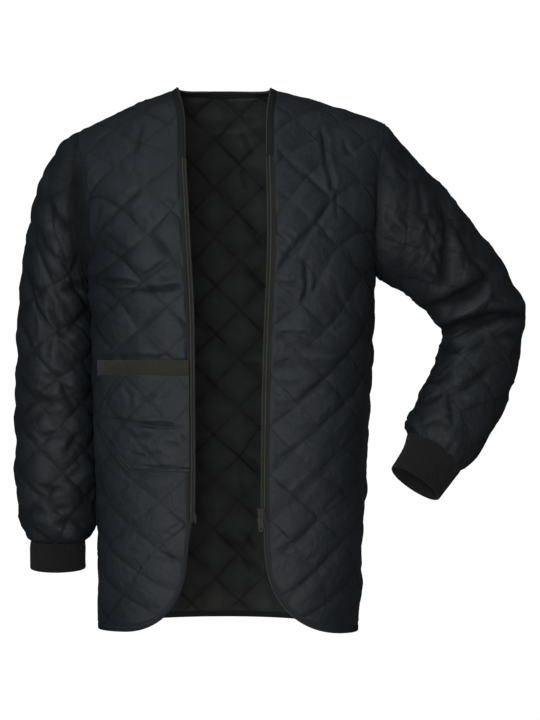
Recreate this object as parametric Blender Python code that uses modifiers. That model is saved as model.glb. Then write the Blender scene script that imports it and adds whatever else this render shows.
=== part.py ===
"""Collarless quilted parka liner with its zip open, filled out in its worn form and empty inside.

Units are metres and +Z is up. The fronts face -Y, and +X is the wearer's left. The origin is the
middle of the neck opening, level with the high points of the shoulders, where a wearer carries it.
Each cloth piece is a wall between an outer face, laid out as rows and columns of the garment's
form, and the same points moved inward by the cloth's thickness.
"""

from collections import namedtuple

import bmesh
import bpy
import numpy as np
from mathutils import Matrix

RIGHT, LEFT = -1, 1  # the wearer's right is at -X

# Driving sizes.
SEAM_GAP = 0.0003
QUILT = 0.004  # shell, wadding and lining, stitched through
RIB = 0.003  # knitted cuff
TAPE = 0.0012
TAPE_WIDTH = 0.0085
POCKET = 0.0035
NECK_BINDING_WIDTH = 0.008
HEM_BINDING_WIDTH = 0.005
BINDING_PROUD = 0.0007  # how far a binding stands out from the quilted cloth it wraps
BINDING_ROUND = 0.0014
UNDERARM_Z = -0.288
ZIP_BOTTOM_Z = -0.664
NECK_BACK_Y = 0.070
NECK_BACK_Z = -0.004
NECK_SIDE_Z = -0.002
SHOULDER_POWER = 1.2  # above 1 rounds the shoulder's fall from neck to sleeve
SECTION_POWER = 2.4  # superellipse of the body's plan: 2 is an ellipse, more is squarer
ARMHOLE_BOW = 0.005  # how far the middle of the armhole curves in towards the chest

# The body from hem to underarm: the side seams, and the middle of front and back.
Body = namedtuple("Body", "z right_side left_side front back")
BODY = (
    Body(-0.832, -0.1978, 0.2043, -0.140, 0.132),
    Body(-0.700, -0.1988, 0.2110, -0.144, 0.130),
    Body(-0.560, -0.2028, 0.2175, -0.148, 0.128),
    Body(-0.405, -0.2060, 0.2245, -0.150, 0.130),
    Body(-0.288, -0.2090, 0.2300, -0.148, 0.134),
)

# The edge of each front's cloth, from the neck point down to where the corner begins.
Edge = namedtuple("Edge", "z right left")
FRONT_EDGE = (
    Edge(-0.832, -0.0600, 0.0640),
    Edge(-0.690, -0.0580, 0.0640),
    Edge(-0.664, -0.0540, 0.0630),
    Edge(-0.640, -0.0535, 0.0630),
    Edge(-0.480, -0.0535, 0.0645),
    Edge(-0.405, -0.0540, 0.0665),
    Edge(-0.330, -0.0555, 0.0695),
    Edge(-0.255, -0.0600, 0.0725),
    Edge(-0.180, -0.0640, 0.0725),
    Edge(-0.125, -0.0675, 0.0710),
    Edge(-0.090, -0.0680, 0.0700),
    Edge(-0.040, -0.0715, 0.0715),
    Edge(0.000, -0.0820, 0.0760),
)

# The rounded lower front corner of each front, as a quarter of a superellipse.
Corner = namedtuple("Corner", "width height power")
CORNER = {RIGHT: Corner(0.096, 0.1125, 2.2), LEFT: Corner(0.118, 0.128, 2.3)}

# The hem of the cloth, above its binding: it rises from the side seams to the middle.
HEM_SIDE_Z = {RIGHT: -0.8285, LEFT: -0.8325}
FRONT_HEM_RISE = {RIGHT: 0.0040, LEFT: 0.0065}
HEM_BACK_Z = -0.8230

# Rings of a sleeve, armhole first: the outer and inner ends of its width, then its depth.
Ring = namedtuple("Ring", "outer_x outer_z inner_x inner_z middle_y half_depth")
SLEEVE = {
    RIGHT: (
        Ring(-0.2290, -0.0655, -0.2090, -0.2880, 0.000, 0.072),
        Ring(-0.2565, -0.0860, -0.2112, -0.2910, 0.006, 0.074),
        Ring(-0.2770, -0.1240, -0.2116, -0.2960, 0.012, 0.075),
        Ring(-0.2935, -0.1605, -0.2114, -0.3040, 0.018, 0.075),
        Ring(-0.3045, -0.2025, -0.2105, -0.3180, 0.025, 0.074),
        Ring(-0.3140, -0.2490, -0.2085, -0.3380, 0.031, 0.073),
        Ring(-0.3215, -0.2955, -0.2065, -0.3640, 0.037, 0.071),
        Ring(-0.3255, -0.3500, -0.2045, -0.3960, 0.041, 0.069),
        Ring(-0.3280, -0.4120, -0.2035, -0.4400, 0.044, 0.067),
        Ring(-0.3295, -0.4820, -0.2030, -0.4900, 0.046, 0.064),
        Ring(-0.3290, -0.5450, -0.2025, -0.5500, 0.047, 0.061),
        Ring(-0.3290, -0.6160, -0.2025, -0.6160, 0.047, 0.058),
        Ring(-0.3240, -0.6610, -0.2030, -0.6600, 0.047, 0.055),
        Ring(-0.3180, -0.6800, -0.2055, -0.6790, 0.047, 0.051),
        Ring(-0.3130, -0.6930, -0.2100, -0.6920, 0.047, 0.047),
        Ring(-0.3075, -0.7020, -0.2200, -0.7020, 0.048, 0.040),
    ),
    LEFT: (
        Ring(0.2450, -0.0525, 0.2300, -0.2880, 0.000, 0.072),
        Ring(0.2720, -0.0845, 0.2365, -0.2940, 0.003, 0.075),
        Ring(0.3115, -0.1250, 0.2500, -0.3010, 0.010, 0.075),
        Ring(0.3515, -0.1680, 0.2705, -0.3145, 0.020, 0.071),
        Ring(0.3910, -0.2140, 0.2970, -0.3330, 0.032, 0.066),
        Ring(0.4305, -0.2670, 0.3180, -0.3510, 0.042, 0.062),
        Ring(0.4570, -0.3130, 0.3300, -0.3670, 0.048, 0.060),
        Ring(0.4675, -0.3445, 0.3355, -0.3855, 0.050, 0.058),
        Ring(0.4625, -0.3905, 0.3305, -0.4105, 0.044, 0.056),
        Ring(0.4530, -0.4370, 0.3155, -0.4435, 0.030, 0.054),
        Ring(0.4380, -0.4820, 0.2990, -0.4735, 0.012, 0.052),
        Ring(0.4225, -0.5130, 0.2850, -0.5005, -0.004, 0.050),
        Ring(0.4045, -0.5435, 0.2785, -0.5095, -0.018, 0.047),
        Ring(0.3920, -0.5640, 0.2762, -0.5155, -0.027, 0.044),
        Ring(0.3790, -0.5785, 0.2756, -0.5225, -0.033, 0.041),
        Ring(0.3620, -0.5910, 0.2790, -0.5325, -0.037, 0.037),
    ),
}
CUFF = {
    RIGHT: (
        Ring(-0.3072, -0.7160, -0.2212, -0.7160, 0.0495, 0.039),
        Ring(-0.3072, -0.7300, -0.2214, -0.7300, 0.0510, 0.038),
        Ring(-0.3072, -0.7440, -0.2212, -0.7440, 0.0530, 0.038),
    ),
    LEFT: (
        Ring(0.3509, -0.6030, 0.2741, -0.5522, -0.0430, 0.036),
        Ring(0.3390, -0.6180, 0.2647, -0.5682, -0.0495, 0.035),
        Ring(0.3272, -0.6325, 0.2559, -0.5834, -0.0560, 0.035),
    ),
}

# The first and last ring of each stretch of a sleeve. The bent sleeve is one cut of cloth, and
# stands here as short tubes one after another, so that its hollow stays simple.
SLEEVE_STRETCHES = {
    RIGHT: (("sleeve_right", 0, 15),),
    LEFT: (
        ("sleeve_left_shoulder", 0, 3), ("sleeve_left_upper", 3, 6), ("sleeve_left_elbow", 6, 8),
        ("sleeve_left_forearm", 8, 10), ("sleeve_left_forearm_low", 10, 12),
        ("sleeve_left_wrist", 12, 15),
    ),
}

# Rows and columns of the panels. The pocket's edges lie on rows and columns of its front.
ARM_ROWS = (0.0, 0.13, 0.26, 0.39, 0.517, 0.64, 0.76, 0.88, 1.0)  # underarm to shoulder seam
ZIP_TOP_ARM_ROW = 4
POCKET_TOP_Z = -0.420
BAND_BOTTOM_Z = -0.443
POCKET_SLANT_Z = -0.525
POCKET_BOTTOM_Z = -0.588
FRONT_ROWS_Z = (
    ZIP_BOTTOM_Z, -0.626, POCKET_BOTTOM_Z, -0.567, -0.546, POCKET_SLANT_Z,
    -0.484, BAND_BOTTOM_Z, POCKET_TOP_Z, -0.376, -0.332, UNDERARM_Z,
)
SKIRT_ROWS = (0.0, 0.25, 0.5, 0.75)  # hem to the zip's bottom
BACK_ROWS_Z = (-0.745, ZIP_BOTTOM_Z, -0.602, -0.541, -0.480, -0.420, -0.354, UNDERARM_Z)
FRONT_COLUMNS = (0.0, 0.10, 0.20, 0.29, 0.384, 0.49, 0.60, 0.702, 0.80, 0.90, 1.0)
POCKET_COLUMNS = 7
BACK_COLUMNS = (0.0, 0.08, 0.16, 0.235, 0.30, 0.41, 0.53, 0.65, 0.77, 0.89, 1.0)
NECK_POINT_COLUMN = 4

# The zip's hard pieces, on the wearer's left, and the pin on the wearer's right.
SLIDER_Z = -0.6495
SLIDER_LENGTH = 0.013
SLIDER_TOP_WIDTH = 0.013
SLIDER_BOTTOM_WIDTH = 0.0085
SLIDER_THICK = 0.0058
SLIDER_SLOT = 0.0030
SLIDER_SLOT_REACH = 0.0025  # how far past the tape's edge the slot is cut
BRIDGE_CLEAR = 0.0020  # space under the bridge
BRIDGE_WIDTH = 0.0022
BRIDGE_THICK = 0.0012
BRIDGE_LENGTH = 0.0078
PULL_LENGTH = 0.029
PULL_WIDTH = 0.0074
PULL_THICK = 0.0013
PULL_WINDOW_WIDTH = 0.0042
PULL_WINDOW_LENGTH = 0.0062
PULL_HOLE_RADIUS = 0.0017
PULL_HOLE_DOWN = 0.0240
BOX_SIZE = (0.0048, 0.0042, 0.0090)
PIN_SIZE = (0.0020, 0.0020, 0.0150)

# Material name: colour, roughness, metallic.
FINISHES = {
    "navy_quilt": ((0.018, 0.021, 0.026), 0.75, 0.0),
    "binding_cloth": ((0.026, 0.030, 0.028), 0.70, 0.0),
    "olive_tape": ((0.030, 0.032, 0.024), 0.80, 0.0),
    "black_rib": ((0.012, 0.012, 0.013), 0.90, 0.0),
    "dark_metal": ((0.050, 0.052, 0.050), 0.45, 1.0),
    "dark_plastic": ((0.030, 0.032, 0.030), 0.50, 0.0),
}


def clear_scene():
    for item in list(bpy.data.objects):
        bpy.data.objects.remove(item, do_unlink=True)


def make_material(name):
    colour, roughness, metallic = FINISHES[name]
    material = bpy.data.materials.new(name)
    material.use_nodes = True
    shader = material.node_tree.nodes["Principled BSDF"]
    shader.inputs["Base Color"].default_value = (*colour, 1.0)
    shader.inputs["Roughness"].default_value = roughness
    shader.inputs["Metallic"].default_value = metallic
    return material


def unit(vectors):
    return vectors / np.linalg.norm(vectors, axis=-1, keepdims=True)


def smoothstep(value):
    value = np.clip(value, 0.0, 1.0)
    return value * value * (3 - 2 * value)


def along(table, column, z):
    """The table's column at height z, on a smooth curve through its rows, which rise in z."""
    knots = np.array([row.z for row in table])
    values = np.array([getattr(row, column) for row in table])
    slopes = np.gradient(values, knots)
    if column in ("front", "back"):
        slopes[-1] = 0.0  # the chest stands upright at the underarm
    z = np.clip(z, knots[0], knots[-1])
    low = np.clip(np.searchsorted(knots, z) - 1, 0, len(knots) - 2)
    span = knots[low + 1] - knots[low]
    t = (z - knots[low]) / span
    return (
        values[low] * (2 * t**3 - 3 * t**2 + 1)
        + values[low + 1] * (3 * t**2 - 2 * t**3)
        + span * slopes[low] * (t**3 - 2 * t**2 + t)
        + span * slopes[low + 1] * (t**3 - t**2)
    )


def side_name(side):
    return "right" if side == RIGHT else "left"


# ---- The garment's form


def quarter_section(part, last_angle=np.pi / 2):
    """How far across and how far back a plan section has gone, at a part (0 to 1) of its turn."""
    power = 2 / SECTION_POWER
    across_end = np.sin(last_angle) ** power
    depth_end = max(np.cos(last_angle), 0.0) ** power
    angle = part * last_angle
    across = np.sin(angle) ** power / across_end
    depth = (np.maximum(np.cos(angle), 0.0) ** power - depth_end) / (1 - depth_end)
    return across, depth


def body_side(side, z):
    return along(BODY, side_name(side) + "_side", z)


def front_edge(side, z):
    return along(FRONT_EDGE, side_name(side), z)


def corner_height(side, across):
    """How far the hem has risen at a distance across from the front edge."""
    corner = CORNER[side]
    left_over = np.clip(1 - across / corner.width, 0.0, 1.0)
    return corner.height * (1 - (1 - left_over**corner.power) ** (1 / corner.power))


def rise(row):
    """Share of the way from underarm to shoulder reached on the front edge, at an arm row."""
    return np.sin(np.pi / 2 * row**1.3)


def ring_frame(side, index):
    """Centre, half width, half depth and direction down the arm of a ring of the sleeve and cuff."""
    rows = SLEEVE[side] + CUFF[side]
    row = rows[index]
    outer = np.array([row.outer_x, row.middle_y, row.outer_z])
    inner = np.array([row.inner_x, row.middle_y, row.inner_z])
    half_width = (outer - inner) / 2
    if index == 0:
        direction = np.array([side * half_width[2], 0.0, -side * half_width[0]])
    else:
        before, after = rows[index - 1], rows[min(index + 1, len(rows) - 1)]
        lean = min(1.0, max(0.0, (index - 3) / 5))  # by the elbow a ring stands square to the arm
        direction = np.array([
            after.outer_x + after.inner_x - before.outer_x - before.inner_x,
            2 * (after.middle_y - before.middle_y) * lean,
            after.outer_z + after.inner_z - before.outer_z - before.inner_z,
        ])
    forward = unit(np.cross(half_width, direction))
    forward = forward * -np.sign(forward[1])
    direction = unit(np.cross(forward, half_width))
    return (outer + inner) / 2, half_width, forward * row.half_depth, direction * -side


def ring_points(side, index, turn):
    """Points of a ring, and the directions into its cloth. Turn 0 is the underarm, 1/4 the front,
    1/2 the shoulder or outer side, 3/4 the back."""
    centre, half_width, half_depth, direction = ring_frame(side, index)
    angle = 2 * np.pi * np.asarray(turn)[:, None]
    fade = max(0.0, 1 - index / 3)
    power = 1 - 0.28 * fade
    across = -np.cos(angle)
    forward = np.sign(np.sin(angle)) * np.abs(np.sin(angle)) ** power
    bow = -direction * ARMHOLE_BOW * fade * np.sin(angle) ** 2
    points = centre + across * half_width + forward * half_depth + bow
    inward = -across * half_width / (half_width @ half_width)
    inward = inward - forward * half_depth / (half_depth @ half_depth)
    return points, unit(inward)


def armhole_point(side, face, row):
    """The armhole at an arm row on the front (face -1) or back (face 1) of the body."""
    turn = row / 2 if face < 0 else 1 - row / 2
    points, inward = ring_points(side, 0, [turn])
    direction = ring_frame(side, 0)[3]
    return points[0] - direction * SEAM_GAP / 2, inward[0]


def armhole_turn(row):
    """How far a section above the underarm turns before the armhole cuts it off."""
    return np.radians(90 - 26 * smoothstep(row / 0.25))


def front_body_point(side, column, z, hem_share=None):
    """A front's outer face below the underarm. hem_share 1 is the hem, 0 the zip's bottom."""
    across, _ = quarter_section(column)
    hem_width = abs(body_side(side, HEM_SIDE_Z[side]) - front_edge(side, HEM_SIDE_Z[side]))
    corner = CORNER[side]
    if hem_share is not None:
        meets = corner.width / hem_width
        column_there = 2 / np.pi * np.arcsin(meets ** (SECTION_POWER / 2))
        if column < column_there:
            rounded = meets * (1 - np.cos(np.pi / 2 * column / column_there))
            across = across + (rounded - across) * smoothstep(hem_share)
        low = HEM_SIDE_Z[side] + FRONT_HEM_RISE[side] * (1 - across**2)
        low += corner_height(side, across * hem_width)
        z = low + (ZIP_BOTTOM_Z - low) * (1 - hem_share)
    depth = (1 - across**SECTION_POWER) ** (1 / SECTION_POWER)
    edge = front_edge(side, z)
    x = edge + (body_side(side, z) - edge) * across
    return np.array([x, along(BODY, "front", z) * depth, z])


def front_chest_point(side, column, row):
    """A front's outer face from underarm to shoulder seam."""
    up = rise(row)
    edge_z = UNDERARM_Z + (NECK_SIDE_Z - UNDERARM_Z) * up
    edge_y = along(BODY, "front", UNDERARM_Z) * np.sqrt(max(0.0, 1 - up * up))
    arm, _ = armhole_point(side, -1, row)
    across, depth = quarter_section(column, armhole_turn(row))
    edge_x = front_edge(side, edge_z)
    return np.array([
        edge_x + (arm[0] - edge_x) * across,
        arm[1] + (edge_y - arm[1]) * depth,
        edge_z + (arm[2] - edge_z) * across**SHOULDER_POWER,
    ])


def back_body_point(column, z=None):
    """The back's outer face below the underarm, or its hem where no height is given."""
    across, depth = quarter_section(abs(column))
    side = RIGHT if column < 0 else LEFT
    if z is None:
        z = HEM_SIDE_Z[side] + (HEM_BACK_Z - HEM_SIDE_Z[side]) * (1 - across**2)
    return np.array([body_side(side, z) * across, along(BODY, "back", z) * depth, z])


def shoulder_line(side, part):
    """The shoulder seam from the neck point (part 0) to the armhole (part 1)."""
    tip, _ = armhole_point(side, 1, 1.0)
    neck_x = front_edge(side, NECK_SIDE_Z)
    z = NECK_SIDE_Z + (tip[2] - NECK_SIDE_Z) * part**SHOULDER_POWER
    return np.array([neck_x + (tip[0] - neck_x) * part, 0.0, z])


def back_chest_point(column, row):
    """The back's outer face from underarm up to the shoulder seams and the neckline."""
    side = RIGHT if column < 0 else LEFT
    part = abs(column)
    arm, _ = armhole_point(side, 1, row)
    across, depth = quarter_section(part, armhole_turn(row))
    up = rise(row)
    middle_y = NECK_BACK_Y + (along(BODY, "back", UNDERARM_Z) - NECK_BACK_Y) * (1 - up**1.6) ** 0.8
    middle_z = UNDERARM_Z + (NECK_BACK_Z - UNDERARM_Z) * up
    plain = np.array([
        arm[0] * across,
        arm[1] + (middle_y - arm[1]) * depth,
        middle_z + (arm[2] - middle_z) * across,
    ])
    top_across, top_depth = quarter_section(part, armhole_turn(1.0))
    tip, _ = armhole_point(side, 1, 1.0)
    plain_top = np.array([
        tip[0] * top_across,
        NECK_BACK_Y * top_depth,
        NECK_BACK_Z + (tip[2] - NECK_BACK_Z) * top_across,
    ])
    neck_share = BACK_COLUMNS[NECK_POINT_COLUMN]
    if part <= neck_share:
        angle = np.pi / 2 * part / neck_share
        neck_x = front_edge(side, NECK_SIDE_Z) * np.sin(angle)
        drop = (NECK_BACK_Z - NECK_SIDE_Z) * np.cos(angle)
        top = np.array([neck_x, NECK_BACK_Y * np.cos(angle) ** 0.9, NECK_SIDE_Z + drop])
    else:
        top = shoulder_line(side, (part - neck_share) / (1 - neck_share))
    return plain + (top - plain_top) * row**6


# ---- Cloth walls and strips


def facing_in(grid, sign):
    """Unit directions into the cloth at each point of a grid of rows and columns."""
    rows = np.gradient(grid, axis=0)
    columns = np.gradient(grid, axis=1)
    return unit(np.cross(columns, rows) * sign)


def grid_faces(rows, columns, keep=lambda row, column: "all", closed=False, mirrored=False):
    """Triangles of a grid, each cell split from its low corner to its high one."""
    faces = []
    for row in range(rows - 1):
        for column in range(columns if closed else columns - 1):
            after = (column + 1) % columns
            low, low_after = row * columns + column, row * columns + after
            high, high_after = low + columns, low_after + columns
            kept = keep(row, column)
            if kept in ("all", "lower"):
                faces.append((low, low_after, high_after))
            if kept in ("all", "upper"):
                faces.append((low, high_after, high))
    return [face[::-1] for face in faces] if mirrored else faces


def add_object(name, points, faces, material, parts):
    mesh = bpy.data.meshes.new(name)
    mesh.from_pydata([tuple(point) for point in points], [], faces)
    shape = bmesh.new()
    shape.from_mesh(mesh)
    loose = [vertex for vertex in shape.verts if not vertex.link_faces]
    bmesh.ops.delete(shape, geom=loose, context="VERTS")
    if shape.calc_volume(signed=True) < 0:
        bmesh.ops.reverse_faces(shape, faces=shape.faces)
    shape.to_mesh(mesh)
    shape.free()
    mesh.shade_smooth()
    mesh.set_sharp_from_angle(angle=np.radians(50))
    mesh.materials.append(material)
    item = bpy.data.objects.new(name, mesh)
    parts.objects.link(item)
    return item


def cloth_wall(name, outer, inward, faces, thickness, material, parts, lift=0.0):
    """A wall of cloth: its outer face, the same points moved inward, and a rim at each free edge.
    lift moves the whole wall out, for a piece that lies on another."""
    outer = outer.reshape(-1, 3)
    inward = inward.reshape(-1, 3)
    count = len(outer)
    points = np.concatenate([outer - inward * lift, outer - inward * (lift - thickness)])
    walls = list(faces)
    walls += [tuple(vertex + count for vertex in reversed(face)) for face in faces]
    edges = {(face[i], face[(i + 1) % len(face)]) for face in faces for i in range(len(face))}
    for start, end in sorted(edges):
        if (end, start) not in edges:
            walls.append((end, start, start + count))
            walls.append((end, start + count, end + count))
    return add_object(name, points, walls, material, parts)


def edge_strip(name, edge, inward, turn, section, material, parts):
    """A strip along a cloth edge. section lists (across, out) pairs: across goes on past the edge,
    and out is away from the outer face. turn is the sign that makes across point off the cloth."""
    path = np.gradient(edge, axis=0)
    across = unit(np.cross(path, inward)) * turn
    path = unit(path)
    ends = edge.copy()
    ends[0] += path[0] * SEAM_GAP / 2
    ends[-1] -= path[-1] * SEAM_GAP / 2
    rings = [ends + across * over - inward * out for over, out in section]
    points = np.stack(rings, axis=1).reshape(-1, 3)
    sides = len(section)
    faces = [tuple(reversed(range(sides))), tuple(range(len(points) - sides, len(points)))]
    for row in range(len(edge) - 1):
        for corner in range(sides):
            after = (corner + 1) % sides
            low, low_after = row * sides + corner, row * sides + after
            high, high_after = low + sides, low_after + sides
            if turn > 0:
                faces += [(low, low_after, high_after), (low, high_after, high)]
            else:
                faces += [(low, low_after, high), (low_after, high_after, high)]
    return add_object(name, points, faces, material, parts)


def binding_section(width):
    """Across and out of a binding: it goes on from the cloth's edge and is rounded at its fold."""
    top = BINDING_PROUD
    bottom = -QUILT - BINDING_PROUD
    fold = width - BINDING_ROUND
    return (
        (SEAM_GAP, top), (fold, top), (width, top - BINDING_ROUND),
        (width, bottom + BINDING_ROUND), (fold, bottom), (SEAM_GAP, bottom),
    )


# ---- The pieces


def front_grid(side):
    """Points of a front and the directions into its cloth, hem row first, front edge column first."""
    rows = [
        [front_body_point(side, column, None, 1 - share) for column in FRONT_COLUMNS]
        for share in SKIRT_ROWS
    ]
    rows += [[front_body_point(side, column, z) for column in FRONT_COLUMNS] for z in FRONT_ROWS_Z]
    rows += [[front_chest_point(side, column, row) for column in FRONT_COLUMNS] for row in ARM_ROWS[1:]]
    grid = np.array(rows)
    inward = facing_in(grid, -side)
    underarm = len(grid) - len(ARM_ROWS)
    inward[:, -1] = (-side, 0.0, 0.0)
    for index, row in enumerate(ARM_ROWS):
        grid[underarm + index, -1], inward[underarm + index, -1] = armhole_point(side, -1, row)
    inward[-1, :-1] = shoulder_inward(side)
    grid[:underarm + 1, -1, 1] = -SEAM_GAP / 2
    grid[-1, :, 1] = -SEAM_GAP / 2
    return grid, inward


def shoulder_inward(side):
    start, end = shoulder_line(side, 0.0), shoulder_line(side, 1.0)
    along_seam = unit(end - start)
    return np.array([side * along_seam[2], 0.0, -side * along_seam[0]])


def back_grid():
    """Points of the back and the directions into its cloth, hem row first, wearer's right first."""
    columns = [-column for column in reversed(BACK_COLUMNS[1:])] + list(BACK_COLUMNS)
    rows = [[back_body_point(column) for column in columns]]
    rows += [[back_body_point(column, z) for column in columns] for z in BACK_ROWS_Z]
    rows += [[back_chest_point(column, row) for column in columns] for row in ARM_ROWS[1:]]
    grid = np.array(rows)
    inward = facing_in(grid, 1)
    underarm = len(grid) - len(ARM_ROWS)
    middle = len(BACK_COLUMNS) - 1
    for side in (RIGHT, LEFT):
        last = middle + side * middle
        neck = middle + side * NECK_POINT_COLUMN
        inward[:, last] = (-side, 0.0, 0.0)
        for index, row in enumerate(ARM_ROWS):
            grid[underarm + index, last], inward[underarm + index, last] = armhole_point(side, 1, row)
        seam = slice(neck, last) if side == LEFT else slice(last + 1, neck + 1)
        inward[-1, seam] = shoulder_inward(side)
        for column in range(1, NECK_POINT_COLUMN):
            share = smoothstep(column / NECK_POINT_COLUMN)
            mixed = inward[-1, middle] * (1 - share) + inward[-1, neck] * share
            inward[-1, middle + side * column] = unit(mixed)
        grid[:underarm + 1, last, 1] = SEAM_GAP / 2
        whole_seam = slice(neck, last + 1) if side == LEFT else slice(last, neck + 1)
        grid[-1, whole_seam, 1] = SEAM_GAP / 2
    return grid, inward


def tube_grid(side, first, last, last_gap):
    """Rings of a sleeve or cuff and the directions into its cloth, moved in at its seams."""
    turns = [row / 2 for row in ARM_ROWS] + [1 - row / 2 for row in reversed(ARM_ROWS[1:-1])]
    rings = [ring_points(side, index, turns) for index in range(first, last + 1)]
    grid = np.array([points for points, _ in rings])
    around = np.roll(grid, -1, axis=1) - np.roll(grid, 1, axis=1)
    down = np.gradient(grid, axis=0)
    inward = unit(np.cross(around, down) * side)
    for end, index, gap in ((0, first, SEAM_GAP / 2), (-1, last, -last_gap)):
        inward[end] = rings[end][1]
        grid[end] += ring_frame(side, index)[3] * gap
    return grid, inward


def make_cloth(materials, parts):
    fronts = {side: front_grid(side) for side in (RIGHT, LEFT)}
    back, back_in = back_grid()
    for side, (grid, inward) in fronts.items():
        faces = grid_faces(*grid.shape[:2], mirrored=side == LEFT)
        name = "front_" + side_name(side)
        cloth_wall(name, grid, inward, faces, QUILT, materials["navy_quilt"], parts)
    cloth_wall("back", back, back_in, grid_faces(*back.shape[:2]), QUILT, materials["navy_quilt"], parts)
    for side in (RIGHT, LEFT):
        for name, first, last in SLEEVE_STRETCHES[side]:
            grid, inward = tube_grid(side, first, last, SEAM_GAP / 2)
            faces = grid_faces(*grid.shape[:2], closed=True, mirrored=side == LEFT)
            cloth_wall(name, grid, inward, faces, QUILT, materials["navy_quilt"], parts)
        wrist = len(SLEEVE[side]) - 1
        grid, inward = tube_grid(side, wrist, wrist + len(CUFF[side]), 0.0)
        faces = grid_faces(*grid.shape[:2], closed=True, mirrored=side == LEFT)
        name = "cuff_" + side_name(side)
        cloth_wall(name, grid, inward, faces, RIB, materials["black_rib"], parts)
    make_pocket(*fronts[RIGHT], materials, parts)
    make_edges(fronts, back, back_in, materials, parts)


def make_pocket(front, inward, materials, parts):
    """The patch pocket and the tape over its mouth, both lying on the front's own points."""
    levels = [len(SKIRT_ROWS) + FRONT_ROWS_Z.index(z) for z in (
        POCKET_BOTTOM_Z, POCKET_SLANT_Z, BAND_BOTTOM_Z, POCKET_TOP_Z)]
    bottom, slant, mouth, top = levels
    lift = SEAM_GAP + POCKET

    def pocket_cells(row, column):
        limit = POCKET_COLUMNS - max(0, slant - row)
        if not bottom <= row < mouth or column > limit:
            return "none"
        if column == limit:
            return "upper" if row < slant else "none"
        return "all"

    def band_cells(row, column):
        return "all" if mouth <= row < top and column < POCKET_COLUMNS else "none"

    for name, cells, material in (
        ("pocket", pocket_cells, "navy_quilt"), ("pocket_band", band_cells, "olive_tape"),
    ):
        shifted = front.copy()
        if name == "pocket_band":
            shifted[mouth, :, 2] += SEAM_GAP
        faces = grid_faces(*front.shape[:2], keep=cells)
        cloth_wall(name, shifted, inward, faces, POCKET, materials[material], parts, lift)


def make_edges(fronts, back, back_in, materials, parts):
    """The bindings round the neck and the hem, and the zip's tape between them."""
    zip_bottom = len(SKIRT_ROWS)
    zip_top = zip_bottom + len(FRONT_ROWS_Z) - 1 + ZIP_TOP_ARM_ROW
    middle = len(BACK_COLUMNS) - 1
    neck = slice(middle - NECK_POINT_COLUMN, middle + NECK_POINT_COLUMN + 1)
    neck_paths, hem_paths = [], []
    for right, left, whole in zip(fronts[RIGHT], fronts[LEFT], (back, back_in)):
        neck_paths.append(np.concatenate([
            right[zip_top:-1, 0], whole[-1, neck], left[zip_top:-1, 0][::-1],
        ]))
        hem_paths.append(np.concatenate([
            right[:zip_bottom + 1, 0][::-1], right[0, 1:-1], whole[0],
            left[0, 1:-1][::-1], left[:zip_bottom + 1, 0],
        ]))
    edge_strip("neck_binding", *neck_paths, -1, binding_section(NECK_BINDING_WIDTH),
               materials["binding_cloth"], parts)
    edge_strip("hem_binding", *hem_paths, 1, binding_section(HEM_BINDING_WIDTH),
               materials["binding_cloth"], parts)
    face, reverse = (TAPE - QUILT) / 2, (-TAPE - QUILT) / 2
    section = ((SEAM_GAP, face), (TAPE_WIDTH, face), (TAPE_WIDTH, reverse), (SEAM_GAP, reverse))
    for side, (grid, inward) in fronts.items():
        stretch = slice(zip_bottom, zip_top + 1)
        edge_strip("zip_tape_" + side_name(side), grid[stretch, 0], inward[stretch, 0], side, section,
                   materials["olive_tape"], parts)


def tape_edge(side, z):
    """The free edge of the zip's tape, at the middle of its thickness."""
    x = front_edge(side, z) - side * TAPE_WIDTH
    return np.array([x, along(BODY, "front", z) + QUILT / 2, z])


def add_box(name, centre, size, bevel, material, parts):
    """A block with rounded edges."""
    mesh = bpy.data.meshes.new(name)
    shape = bmesh.new()
    bmesh.ops.create_cube(shape, size=1.0, matrix=Matrix.Diagonal((*size, 1.0)))
    shape.to_mesh(mesh)
    shape.free()
    mesh.materials.append(material)
    item = bpy.data.objects.new(name, mesh)
    item.location = centre
    parts.objects.link(item)
    if bevel:
        rounding = item.modifiers.new("rounded_edges", "BEVEL")
        rounding.width = bevel
        rounding.segments = 2
    return item


def cut_or_join(item, other, operation):
    modifier = item.modifiers.new(other.name, "BOOLEAN")
    modifier.operation = operation
    modifier.object = other
    other.hide_render = True
    other.display_type = "WIRE"


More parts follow.
